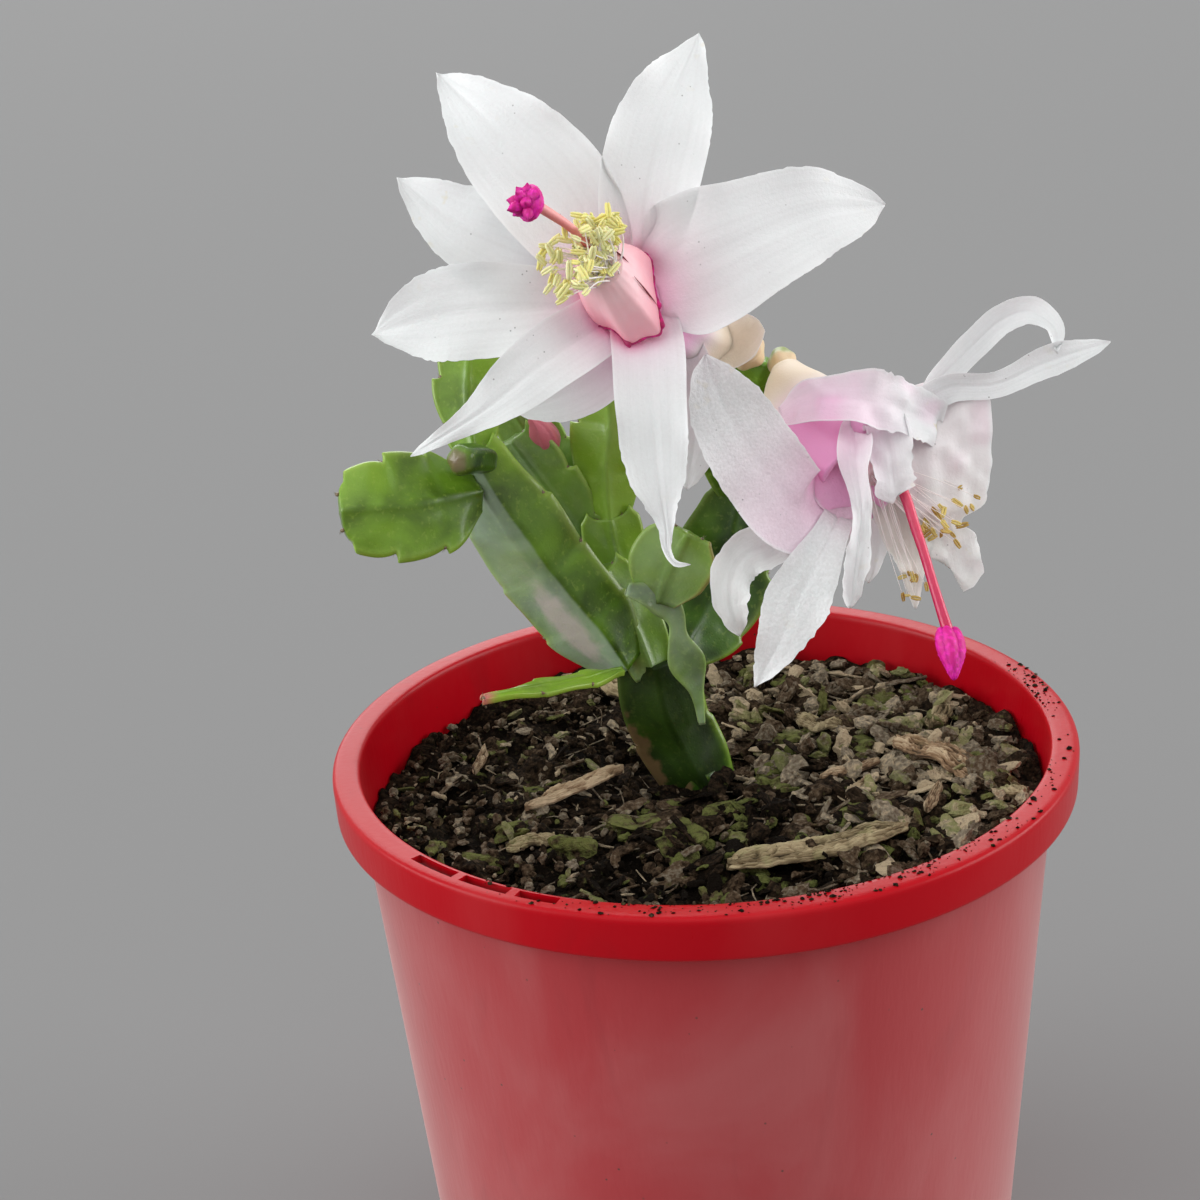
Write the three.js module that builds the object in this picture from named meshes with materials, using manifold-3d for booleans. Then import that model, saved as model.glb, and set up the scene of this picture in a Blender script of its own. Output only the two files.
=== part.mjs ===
// A christmas cactus in bloom in a round plastic nursery pot. Millimetres, +Z up.
// The origin is the centre of the pot's flat base, on the surface that it stands on.
import * as THREE from "three";
import { mergeVertices } from "three/addons/utils/BufferGeometryUtils.js";
import Module from "manifold-3d";

const wasm = await Module();
wasm.setup();

// ---- Driving dimensions ----
const CLEARANCE = 0.35; // between pieces that touch

const POT = {
  height: 122,
  rimRadius: 65, // outside of the collar
  rimInner: 60.3,
  rimWall: 1.4,
  collarDrop: 7.6, // the collar's skirt hangs this far below the rim's top
  bodyTop: 60.9, // outer radius of the body just under the collar
  taper: 0.075, // radius lost per millimetre down
  wall: 1.2,
  floor: 2,
  footDisc: 25, // the underside stands on this flat middle and on a ring at its edge
  channel: 1.5, // the height of the channel between them, which the drain holes open into
  footRingWidth: 7,
  sides: 48,
};
const DRAIN = { count: 8, radius: 4, circle: 37, sides: 12 };
// Label slots through the rim's top, between radial ribs
const SLOTS = { inner: 61.3, outer: 63.2, spans: [[-138, -129.2], [-127.8, -119.4], [-118, -111.5]] };

const SOIL = {
  level: 111.6,
  slope: 0.028, // rises towards the right
  hollow: { x: -3, y: 4, radius: 17, depth: 3.2 }, // the sunken ground round the stem
  rings: 12,
  sides: 42,
  crumbs: 22,
};
const FOOT = { x: -1, y: 6.2, radius: 5.2, bottom: 100, top: 116, sides: 12 };

// Both blooms are laid out in a frame that faces the front: u to the right, v up, w forwards
const BLOOM_TURN = 2.85;
const BLOOM_TILT = 69.1;
const BLOOM_ROLL = -3.95;

const COLOURS = {
  pot: 0xb5403f,
  soil: 0x4a3b2e,
  bark: 0x6b5138,
  splinter: 0xa48a63,
  stem: 0x4f7a26,
  youngStem: 0x7aa52c,
  petal: 0xf4f1f3,
  ovary: 0xd9c08f,
  stamen: 0xf0e2a0,
  pistil: 0xc2185b,
  bud: 0xd9788a,
};

// ---- Small tools ----
const radians = THREE.MathUtils.degToRad;
const GOLDEN_ANGLE = Math.PI * (3 - Math.sqrt(5));
const vector = (p) => new THREE.Vector3(...p);

// A repeatable draw in 0..1
function seeded(seed) {
  let state = seed;
  return () => {
    state = (state * 1664525 + 1013904223) % 4294967296;
    return state / 4294967296;
  };
}

// A smooth curve through evenly spaced values, at t in 0..1
function along(values, t) {
  if (values.length === 1) return values[0];
  const x = THREE.MathUtils.clamp(t, 0, 1) * (values.length - 1);
  const i = Math.min(Math.floor(x), values.length - 2);
  const f = x - i;
  const [b, c] = [values[i], values[i + 1]];
  const a = i > 0 ? values[i - 1] : 2 * b - c;
  const d = i + 2 < values.length ? values[i + 2] : 2 * c - b;
  return 0.5 * (2 * b + (c - a) * f + (2 * a - 5 * b + 4 * c - d) * f * f + (3 * b - a - 3 * c + d) * f ** 3);
}

function solidOf(geometry) {
  const bare = geometry.clone();
  bare.deleteAttribute("normal");
  bare.deleteAttribute("uv");
  const merged = mergeVertices(bare, 1e-4);
  const corners = [];
  for (let i = 0; i < merged.index.count; i += 3) {
    const [a, b, c] = merged.index.array.subarray(i, i + 3);
    if (a !== b && b !== c && c !== a) corners.push(a, b, c);
  }
  const mesh = new wasm.Mesh({
    numProp: 3,
    vertProperties: new Float32Array(merged.attributes.position.array),
    triVerts: new Uint32Array(corners),
  });
  return new wasm.Manifold(mesh);
}

function geometryOf(solid) {
  const { numProp, vertProperties, triVerts } = solid.getMesh();
  const positions = new Float32Array((vertProperties.length / numProp) * 3);
  for (let i = 0; i < positions.length / 3; i++) {
    positions.set(vertProperties.subarray(i * numProp, i * numProp + 3), i * 3);
  }
  const geometry = new THREE.BufferGeometry();
  geometry.setAttribute("position", new THREE.BufferAttribute(positions, 3));
  geometry.setIndex(new THREE.BufferAttribute(new Uint32Array(triVerts), 1));
  geometry.computeVertexNormals();
  return geometry;
}

const join = (solids) => solids.reduce((sum, next) => sum.add(next));

// The largest body that is left after everything in others is cut away
function clearOf(solid, others) {
  const cut = others.reduce((left, other) => left.subtract(other), solid);
  return cut.decompose().sort((a, b) => b.volume() - a.volume())[0];
}

// ---- Lofts along a spine ----
// Points and directions along a spine: ahead is along it, up is its face, side lies across it
function stationsAlong({ spine, face = [0, 0, 1], twist = [0] }, steps) {
  const curve = new THREE.CatmullRomCurve3(spine.map(vector), false, "centripetal");
  return steps.map((t) => {
    const ahead = curve.getTangentAt(t);
    const up = vector(face).addScaledVector(ahead, -vector(face).dot(ahead)).normalize();
    const side = new THREE.Vector3().crossVectors(ahead, up);
    const turn = radians(along(twist, t));
    return {
      t,
      centre: curve.getPointAt(t),
      ahead,
      up: up.clone().multiplyScalar(Math.cos(turn)).addScaledVector(side, Math.sin(turn)),
      side: side.clone().multiplyScalar(Math.cos(turn)).addScaledVector(up, -Math.sin(turn)),
    };
  });
}

// A closed blade from a grid of upper points and the grid of lower points under them
function bladeBetween(upper, lower) {
  const rows = upper.length;
  const columns = upper[0].length;
  const positions = [...upper.flat(), ...lower.flat()].flatMap((p) => p.toArray());
  const at = (row, column) => row * columns + column;
  const under = (row, column) => rows * columns + at(row, column);
  const faces = [];
  const quad = (a, b, c, d) => faces.push(a, b, c, a, c, d);
  for (let i = 0; i + 1 < rows; i++) {
    for (let j = 0; j + 1 < columns; j++) {
      quad(at(i, j), at(i, j + 1), at(i + 1, j + 1), at(i + 1, j));
      faces.push(under(i, j), under(i + 1, j + 1), under(i, j + 1));
      faces.push(under(i, j), under(i + 1, j), under(i + 1, j + 1));
    }
    quad(at(i, 0), at(i + 1, 0), under(i + 1, 0), under(i, 0));
    quad(at(i + 1, columns - 1), at(i, columns - 1), under(i, columns - 1), under(i + 1, columns - 1));
  }
  for (let j = 0; j + 1 < columns; j++) {
    quad(at(0, j + 1), at(0, j), under(0, j), under(0, j + 1));
    quad(at(rows - 1, j), at(rows - 1, j + 1), under(rows - 1, j + 1), under(rows - 1, j));
  }
  const geometry = new THREE.BufferGeometry();
  geometry.setAttribute("position", new THREE.Float32BufferAttribute(positions, 3));
  geometry.setIndex(faces);
  return geometry;
}

// A round rod whose radius follows a list of values
function rod({ spine, radii, sides = 6, steps = 6 }, grow = 0) {
  const start = vector(spine[1]).sub(vector(spine[0])).normalize();
  const face = Math.abs(start.z) < 0.9 ? [0, 0, 1] : [0, 1, 0];
  const stations = stationsAlong({ spine, face }, Array.from({ length: steps + 1 }, (_, i) => i / steps));
  const positions = [];
  for (const { t, centre, ahead, up, side } of stations) {
    const radius = along(radii, t) + grow;
    centre.addScaledVector(ahead, t === 0 ? -grow : t === 1 ? grow : 0);
    for (let k = 0; k < sides; k++) {
      const angle = (2 * Math.PI * k) / sides;
      const p = centre.clone().addScaledVector(side, radius * Math.cos(angle));
      positions.push(...p.addScaledVector(up, radius * Math.sin(angle)).toArray());
    }
  }
  const faces = [];
  for (let i = 0; i < steps; i++) {
    for (let k = 0; k < sides; k++) {
      const [a, b] = [i * sides + k, i * sides + ((k + 1) % sides)];
      faces.push(a, a + sides, b + sides, a, b + sides, b);
    }
  }
  for (let k = 1; k + 1 < sides; k++) {
    faces.push(0, k, k + 1);
    faces.push(steps * sides, steps * sides + k + 1, steps * sides + k);
  }
  const geometry = new THREE.BufferGeometry();
  geometry.setAttribute("position", new THREE.Float32BufferAttribute(positions, 3));
  geometry.setIndex(faces);
  return solidOf(geometry);
}

// ---- Petals ----
const PETAL_THICKNESS = 0.7;
const PETAL_ROWS = 8;
const PETAL_COLUMNS = 5;

// widths are half widths at even steps from root to tip, and cup lifts the margins
function petal({ spine, widths, face, twist, cup = 1.2 }, grow = 0) {
  const steps = Array.from({ length: PETAL_ROWS }, (_, i) => i / (PETAL_ROWS - 1));
  const widest = Math.max(...widths);
  const surface = (offset) =>
    stationsAlong({ spine, face, twist }, steps).map(({ t, centre, up, side }) =>
      Array.from({ length: PETAL_COLUMNS }, (_, j) => {
        const across = (2 * j) / (PETAL_COLUMNS - 1) - 1;
        const half = Math.max(along(widths, t), 0.4) + grow;
        const lift = (cup * half * across ** 2) / widest + offset;
        return centre.clone().addScaledVector(side, half * across).addScaledVector(up, lift);
      }),
    );
  const offset = PETAL_THICKNESS / 2 + grow;
  return solidOf(bladeBetween(surface(offset), surface(-offset)));
}

// ---- Flattened stem segments ----
const SEGMENT = { rib: 3.6, margin: 0.9, columns: [-1, -0.55, 0, 0.55, 1] };
const NOTCH = 0.78; // the margin's half width in a notch, as a share of the width at the tooth
// Where a tooth starts, swells and ends, as shares of its stretch of the margin. Its point leans ahead.
const TOOTH = [
  { at: 0, width: NOTCH, lean: 0 },
  { at: 0.4, width: 0.94, lean: 0 },
  { at: 0.84, width: 1, lean: 1.1 },
];

// A toothed segment whose end is cut off between two horns. grow thickens it on every side.
function segment(shape, grow = 0) {
  const { spine, widths, face, twist, teeth = 3, rib = SEGMENT.rib, cup = 0, horn = 1.8 } = shape;
  const steps = [];
  for (let k = 0; k < teeth; k++) {
    TOOTH.forEach(({ at, width, lean }) => steps.push({ t: (k + at) / teeth, share: width, lean }));
  }
  steps.push({ t: 1, share: NOTCH, lean: horn });
  const stations = stationsAlong({ spine, face, twist }, steps.map(({ t }) => t));
  const surface = (sign) =>
    stations.map(({ t, centre, ahead, up, side }, i) =>
      SEGMENT.columns.map((across) => {
        const half = along(widths, t) * steps[i].share + grow;
        const bulge = (1 - Math.abs(across)) ** 1.6;
        const thickness = SEGMENT.margin + (rib - SEGMENT.margin) * bulge + 2 * grow;
        const lift = (sign * thickness) / 2 + cup * across ** 2;
        const end = i === 0 ? -grow : i === stations.length - 1 ? grow : 0;
        const p = centre.clone().addScaledVector(side, half * across).addScaledVector(up, lift);
        return p.addScaledVector(ahead, end + steps[i].lean * across ** 4);
      }),
    );
  return solidOf(bladeBetween(surface(1), surface(-1)));
}

// ---- Pot ----
const collarBottom = POT.height - POT.collarDrop;
const potRadius = (z) => POT.bodyTop - POT.taper * (collarBottom - z);
const standingRadius = potRadius(0);
const floorTop = POT.channel + POT.floor;

function makePot() {
  const { height, rimRadius, rimInner, rimWall, wall, footDisc, channel, footRingWidth } = POT;
  const ringInner = standingRadius - footRingWidth;
  const profile = [
    [0, 0],
    [footDisc, 0],
    [footDisc + 1, channel],
    [ringInner, channel],
    [ringInner + 1, 0],
    [standingRadius - 0.8, 0],
    [standingRadius, 0.8],
    [potRadius(collarBottom), collarBottom],
    [potRadius(collarBottom) + 0.2, height - rimWall],
    [rimRadius - rimWall, height - rimWall],
    [rimRadius - rimWall, collarBottom],
    [rimRadius, collarBottom],
    [rimRadius + 0.2, height - 1.2],
    [rimRadius - 0.5, height],
    [rimInner + 0.6, height],
    [rimInner, height - 0.6],
    [potRadius(collarBottom) - wall, collarBottom],
    [potRadius(floorTop) - wall, floorTop],
    [0, floorTop],
  ].map(([r, z]) => new THREE.Vector2(r, z));
  const body = solidOf(new THREE.LatheGeometry(profile, POT.sides).rotateX(Math.PI / 2));

  const tools = Array.from({ length: DRAIN.count }, (_, k) => {
    const angle = (2 * Math.PI * (k + 0.5)) / DRAIN.count;
    const hole = new THREE.CylinderGeometry(DRAIN.radius, DRAIN.radius, 4 * floorTop, DRAIN.sides);
    hole.rotateX(Math.PI / 2).translate(DRAIN.circle * Math.cos(angle), DRAIN.circle * Math.sin(angle), 0);
    return solidOf(hole);
  });
  for (const [from, to] of SLOTS.spans) {
    const slot = new THREE.Shape();
    slot.absarc(0, 0, SLOTS.outer, radians(from), radians(to), false);
    slot.absarc(0, 0, SLOTS.inner, radians(to), radians(from), true);
    const cut = new THREE.ExtrudeGeometry(slot, { depth: 4, bevelEnabled: false, curveSegments: 3 });
    tools.push(solidOf(cut.translate(0, 0, height - 3)));
  }
  return tools.reduce((left, tool) => left.subtract(tool), body);
}

// ---- Potting mix ----
// The top of the ground at a place in the pot
function groundAt(x, y) {
  const { level, slope, hollow } = SOIL;
  const waves =
    0.55 * Math.sin(0.31 * x + 0.17 * y + 1.1) +
    0.45 * Math.sin(-0.22 * x + 0.36 * y + 2.3) +
    0.35 * Math.sin(0.58 * x - 0.41 * y) +
    0.3 * Math.sin(0.47 * x + 0.69 * y + 0.7);
  const away = Math.hypot(x - hollow.x, y - hollow.y) / hollow.radius;
  return level + slope * x + waves - hollow.depth * Math.exp(-(away ** 2));
}

function makeSoil() {
  const { rings, sides, crumbs } = SOIL;
  const wallAt = (z) => potRadius(z) - POT.wall - CLEARANCE;
  const positions = [];
  const ring = (radius, height) => {
    for (let k = 0; k < sides; k++) {
      const angle = (2 * Math.PI * k) / sides;
      const [x, y] = [radius * Math.cos(angle), radius * Math.sin(angle)];
      positions.push(x, y, height(x, y));
    }
  };
  const bottom = floorTop + CLEARANCE;
  // Flat sides of the ring lie inside the pot's round wall
  const inscribed = Math.cos(Math.PI / sides) * Math.cos(Math.PI / POT.sides);
  ring(wallAt(bottom) * inscribed, () => bottom);
  const edge = wallAt(SOIL.level - 3) * inscribed;
  for (let i = 0; i < rings; i++) ring(edge * (1 - i / rings), groundAt);
  positions.push(0, 0, groundAt(0, 0), 0, 0, bottom);
  const top = positions.length / 3 - 2;
  const faces = [];
  for (let i = 0; i < rings; i++) {
    for (let k = 0; k < sides; k++) {
      const [a, b] = [i * sides + k, i * sides + ((k + 1) % sides)];
      faces.push(a, b, b + sides, a, b + sides, a + sides);
    }
  }
  for (let k = 0; k < sides; k++) {
    const next = (k + 1) % sides;
    faces.push(rings * sides + k, rings * sides + next, top, next, k, top + 1);
  }
  const geometry = new THREE.BufferGeometry();
  geometry.setAttribute("position", new THREE.Float32BufferAttribute(positions, 3));
  geometry.setIndex(faces);

  const draw = seeded(11);
  const pieces = Array.from({ length: crumbs }, () => {
    const [radius, angle] = [54 * Math.sqrt(draw()), 2 * Math.PI * draw()];
    const [x, y] = [radius * Math.cos(angle), radius * Math.sin(angle)];
    const size = 1.6 + 2.2 * draw();
    const crumb = new THREE.OctahedronGeometry(size, 0);
    crumb.rotateX(draw() * 3).rotateZ(draw() * 3).scale(1, 0.8, 0.6);
    return solidOf(crumb.translate(x, y, groundAt(x, y) + 0.1 * size));
  });
  const { x, y, radius, bottom: depth, top: rise } = FOOT;
  const hole = new THREE.CylinderGeometry(radius + CLEARANCE, radius + CLEARANCE, rise - depth, FOOT.sides);
  hole.rotateX(Math.PI / 2).translate(x, y, (rise + depth) / 2 - CLEARANCE);
  return join([solidOf(geometry), ...pieces]).subtract(solidOf(hole));
}

// Loose bark on the ground: outline in its own plane, thickness, place and heading. Settled is how far
// a piece has sunk between the crumbs.
const BARK = [
  { name: "bark_chip_front", length: 28, width: 9, thick: 2.6, x: 18, y: -31, heading: 18, settled: 0.6 },
  { name: "bark_chip_right", length: 24, width: 8, thick: 2.4, x: 43, y: -1, heading: -50, settled: 0.4 },
  { name: "bark_chip_left", length: 20, width: 5, thick: 2.2, x: -23, y: -2, heading: 34 },
  { name: "bark_chip_back", length: 17, width: 9, thick: 2.4, x: -12, y: 40, heading: -32 },
];
const SPLINTERS = [
  { name: "wood_splinter_left", length: 13, radius: 1, x: -41, y: 12, heading: 86, settled: 0.2 },
  { name: "wood_splinter_right", length: 10, radius: 1.1, x: 39, y: -14, heading: 70, settled: 0.9 },
];

// Height at which a flat piece clears the ground under all of its length
function restingHeight({ x, y, length, width, heading, settled = 0 }) {
  let highest = -Infinity;
  for (let i = -4; i <= 4; i++) {
    for (let j = -2; j <= 2; j++) {
      const [a, b] = [(i * length) / 8, (j * width) / 4];
      const [c, s] = [Math.cos(radians(heading)), Math.sin(radians(heading))];
      highest = Math.max(highest, groundAt(x + a * c - b * s, y + a * s + b * c));
    }
  }
  return highest + CLEARANCE - settled;
}

function makeChip(chip) {
  const { length, width, thick } = chip;
  // A torn chip's outline, as shares of its half length and half width
  const corners = [
    [-1, -0.35], [-0.5, -1], [0.35, -0.8], [0.9, -0.5], [1, 0.3], [0.3, 1], [-0.4, 0.75], [-0.85, 0.5],
  ];
  const points = corners.map(([a, b]) => new THREE.Vector2((a * length) / 2, (b * width) / 2));
  const outline = new THREE.Shape(points);
  const slab = new THREE.ExtrudeGeometry(outline, {
    depth: thick / 3,
    bevelThickness: thick / 3,
    bevelSize: thick / 3,
    bevelSegments: 1,
  });
  slab.translate(0, 0, thick / 3).rotateZ(radians(chip.heading));
  return solidOf(slab.translate(chip.x, chip.y, restingHeight(chip)));
}

function makeSplinter(splinter) {
  const { length, radius, x, y, heading } = splinter;
  const [c, s] = [Math.cos(radians(heading)) * length, Math.sin(radians(heading)) * length];
  const z = restingHeight({ ...splinter, width: 2 * radius }) + radius;
  const spine = [[x - c / 2, y - s / 2, z], [x, y, z + 0.4], [x + c / 2, y + s / 2, z]];
  return rod({ spine, radii: [0.5 * radius, radius, 0.6 * radius], sides: 6, steps: 4 });
}

// ---- Stems ----
const FRONT = [0.05, -0.93, 0.36]; // the way most flat faces look

const TRUNK = {
  base: {
    spine: [[-0.8, 5.4, 112.6], [-3.2, 6.4, 117], [-6.5, 6.4, 124.2], [-7.7, 7.1, 132.8]],
    widths: [5.6, 6.6, 7.3, 6.6],
    face: [0.05, -0.97, 0.2],
    teeth: 2,
    rib: 6.4,
  },
  upper: {
    spine: [[-7.9, 6.8, 130.5], [-10.5, 8.4, 138.4], [-13.8, 9, 145.9], [-15.6, 9, 150.6]],
    widths: [4.4, 5.2, 5.4, 4],
    face: FRONT,
    teeth: 2,
    rib: 5.2,
  },
  horn: {
    spine: [[-14.4, 8.2, 144], [-18.2, 7.2, 151], [-21.8, 6.5, 157.4]],
    widths: [3.4, 2.4, 0.5],
    face: FRONT,
    cup: 0,
  },
  wing: {
    spine: [
      [0.2, 5, 121.4], [-0.6, 4.4, 129], [-3, 3.3, 138.1], [-3.6, 3.1, 143.1], [-6.6, 2.2, 147],
      [-11.5, 0.9, 149.4],
    ],
    widths: [1, 1.6, 2.9, 1.5, 2.5, 1],
    face: FRONT,
    cup: 0.6,
  },
  // The rib that carries the wing
  wingRoot: {
    spine: [[-1.2, 6, 122], [-3.6, 5.4, 131], [-6.6, 6, 141]],
    radii: [1.6, 2.2, 1.4],
    sides: 5,
    steps: 4,
  },
};
const LOW_SHOOT = {
  spine: [[-13.4, 2.6, 133.6], [-18.7, -4.7, 135.6], [-26.8, -12, 137.4], [-35.7, -18.5, 138.7]],
  widths: [1.8, 3.4, 3.8, 2],
  face: [0.1, 0.1, 1],
  teeth: 3,
  rib: 2.6,
};
const LEFT = {
  lower: {
    spine: [[-13.4, 4.2, 132.8], [-24.8, 2.9, 150], [-32.3, 1.9, 163.4], [-37, 3.4, 173.8]],
    widths: [5.4, 8.8, 8.8, 9, 7.8, 4.8],
    face: [-0.3, -0.88, 0.36],
    teeth: 4,
    rib: 4.2,
    cup: -1.6,
  },
  side: {
    spine: [[-35.6, 0.6, 168.2], [-43.3, -4.6, 168.8], [-50.4, -8.2, 169.6], [-57.4, -10.8, 170]],
    widths: [4, 9, 9.6, 8.8, 6],
    face: [0, -0.9, 0.44],
    teeth: 3,
    cup: -0.8,
    horn: -1.2,
  },
  upper: {
    spine: [[-36, 4.4, 172.4], [-37.2, 11.2, 181.3], [-36.3, 17.2, 192]],
    widths: [3, 5.6, 6.4, 5],
    face: FRONT,
    teeth: 3,
  },
  stub: {
    spine: [[-33.4, 4.4, 172.6], [-35.4, 0, 174.6], [-38.4, -5.4, 176]],
    radii: [2.2, 2.5, 3],
    sides: 10,
    steps: 3,
  },
};
const MIDDLE = {
  front: {
    spine: [[-16.6, 16.4, 148.6], [-22.2, 15.6, 160], [-30.2, 14.6, 173.6]],
    widths: [3, 6, 6.6, 5],
    face: [-0.35, -0.88, 0.3],
    teeth: 3,
  },
  back: {
    spine: [[-17, 22.4, 150.5], [-23.2, 22.6, 163.8], [-30.8, 22, 177.4]],
    widths: [3, 6, 6.4, 4.6],
    face: [-0.2, -0.94, 0.3],
    teeth: 3,
  },
  // Both grow from one joint
  joint: { spine: [[-16.6, 16, 150], [-16.8, 22.8, 152]], radii: [2.2, 2.2], sides: 6, steps: 2 },
};
const CENTRE = {
  lower: {
    spine: [[-12.2, 12.6, 148.4], [-13.6, 13.7, 152.6], [-14.3, 14.3, 158]],
    widths: [3.6, 5.6, 5],
    face: FRONT,
    teeth: 1,
  },
  upper: {
    spine: [[-14.3, 14.3, 157], [-14.4, 15.7, 166.5], [-13.2, 17, 175.2], [-13.7, 18, 183.7]],
    widths: [4.2, 6.8, 7.2, 6],
    face: FRONT,
    teeth: 3,
  },
};
const ROUND = {
  spine: [[-6.4, 2.6, 146.2], [-4.3, 2, 151.8], [-0.4, 1.9, 158.8]],
  widths: [3, 7, 6.6, 4],
  face: FRONT,
  teeth: 2,
  rib: 3,
};
const RIGHT = {
  lower: {
    spine: [[-4.4, 9.6, 131.4], [1.2, 18, 138.6], [5.8, 23.2, 146.6], [8.9, 26.4, 156.6]],
    widths: [3.4, 9.4, 10.8, 9.4, 5],
    face: [0.2, -0.93, 0.3],
    teeth: 3,
    rib: 4,
  },
  upper: {
    spine: [[8.7, 26.2, 155.4], [10, 25.4, 167.6], [12.4, 23.1, 175.6], [14.6, 20.8, 183]],
    widths: [3.6, 8, 8.6, 7.6],
    face: FRONT,
    teeth: 3,
  },
};
const BUD = {
  spine: [[-24, 18.4, 169.4], [-25, 15.6, 173.4], [-27, 13, 177.6]],
  radii: [1.2, 2.6, 2.2, 0.5],
  sides: 9,
  steps: 6,
};

const trunk = (grow) =>
  join([
    segment(TRUNK.base, grow),
    segment(TRUNK.upper, grow),
    petal(TRUNK.horn, grow),
    petal(TRUNK.wing, grow),
    rod(TRUNK.wingRoot, grow),
  ]);
function trunkFoot() {
  const { x, y, radius, bottom, top, sides } = FOOT;
  const post = new THREE.CylinderGeometry(radius * 0.8, radius, top - bottom, sides);
  return solidOf(post.rotateX(Math.PI / 2).translate(x, y, (top + bottom) / 2));
}
const lowShoot = (grow) => segment(LOW_SHOOT, grow);
const leftStem = (grow) =>
  join([
    segment(LEFT.lower, grow),
    segment(LEFT.side, grow),
    segment(LEFT.upper, grow),
    rod(LEFT.stub, grow),
  ]);
const middleStem = (grow) =>
  join([
    segment(MIDDLE.front, grow),
    segment(MIDDLE.back, grow),
    rod(MIDDLE.joint, grow),
  ]);
const centreStem = (grow) => join([segment(CENTRE.lower, grow), segment(CENTRE.upper, grow)]);
const roundStem = (grow) => segment(ROUND, grow);
const rightStem = (grow) => join([segment(RIGHT.lower, grow), segment(RIGHT.upper, grow)]);

// ---- Blooms, in the blooms' frame ----
const FRONT_BLOOM = {
  place: [-8.1, -8.8, 202.4],
  ovary: {
    spine: [[21.2, -5.2, -31.4], [20.9, -5.1, -27.6], [20.5, -4.8, -24]],
    radii: [2, 3.2, 2.6],
    sides: 8,
    steps: 4,
  },
  tube: {
    spine: [[20.8, -4.8, -25], [14, -4.5, -18], [6.5, -2, -9], [0, 0, -0.6]],
    radii: [2.4, 4.8, 6.2, 7.4],
    sides: 12,
    steps: 6,
  },
  throat: {
    spine: [[4.6, -1.4, -7], [0.6, 0, -1.4], [-2.8, 2.2, 5]],
    radii: [3.6, 5.7, 5.2],
    sides: 14,
    steps: 4,
  },
  petals: [
    {
      spine: [[-3, 3.5, -2], [-11, 15, 3], [-21, 26, 3], [-30.5, 36.5, -3]],
      widths: [5, 8.2, 9.4, 8.2, 5, 0.5],
      cup: 2,
    },
    {
      spine: [[2, 5, -2], [3.2, 17, 3], [6.4, 29.5, 2], [11.5, 43, -4]],
      widths: [5, 7.2, 8, 7.3, 4.2, 0.5],
      cup: 2,
    },
    {
      spine: [[4, 2.5, -1], [16, 8, 4], [29.2, 13.2, 3], [41, 15, -2]],
      widths: [6.5, 10, 9.4, 8, 5.6, 1.8],
      cup: 1.5,
    },
    {
      spine: [[-1.5, 0.6, -4], [-7, 4, -2.6], [-16, 7.6, -1], [-27, 12.3, -1], [-37, 20, -4]],
      widths: [3.4, 5.6, 8, 7.4, 4.6, 0.6],
      cup: 1.5,
    },
    {
      spine: [[-5, -1, -1], [-15, -2, 2], [-28, -2.8, 1], [-41, -5.3, -3]],
      widths: [4, 6.5, 7.6, 6.6, 0.6],
      cup: 1.5,
    },
    {
      spine: [[-4, -4, 0], [-13, -10.5, 4], [-23.4, -18.8, 4], [-34.5, -25.2, 1]],
      widths: [5, 5.3, 4.4, 1.9, 0.5],
      cup: 1,
    },
    { spine: [[3, -5, 0], [3.4, -16, 4], [4.8, -29, 4], [7.5, -42, 3]], widths: [5.2, 5.7, 5.2, 4.2, 0.8] },
    { spine: [[2, -4, -5], [-7, -13, -6], [-18, -17.5, -7]], widths: [4, 5, 5, 4, 1] },
    { spine: [[7, -4, -9], [11, -18.4, -12.6], [10, -29.6, -14]], widths: [4, 5, 5, 4, 1] },
    { spine: [[12, -7, -14], [17.4, -6, -15], [21.8, -1.5, -14]], widths: [3.2, 3.4, 3.4, 2] },
  ],
  stamens: {
    column: {
      spine: [[3.2, -1, -5], [0, 0.3, 0], [-2.8, 2.2, 5], [-4.6, 3.8, 9]],
      radii: [3, 5.3, 4.6, 3.2],
      sides: 12,
      steps: 5,
    },
    from: [-4, 3.4, 8],
    to: [-8, 4.4, 14.5],
    fan: 5.6,
    count: 20,
    seed: 5,
  },
  style: {
    spine: [[3.4, -1.2, -6.2], [0, 0.3, 0], [-3.4, 3.2, 7], [-8, 7.6, 15.6], [-12.4, 10.2, 21]],
    radii: [0.9, 0.9, 0.9, 1, 1.1],
  },
  stigma: { spine: [[-12.2, 10, 20.6], [-15, 10.6, 23], [-18, 10.4, 24.4]], lobes: 6, radius: 2.6 },
};
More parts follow.
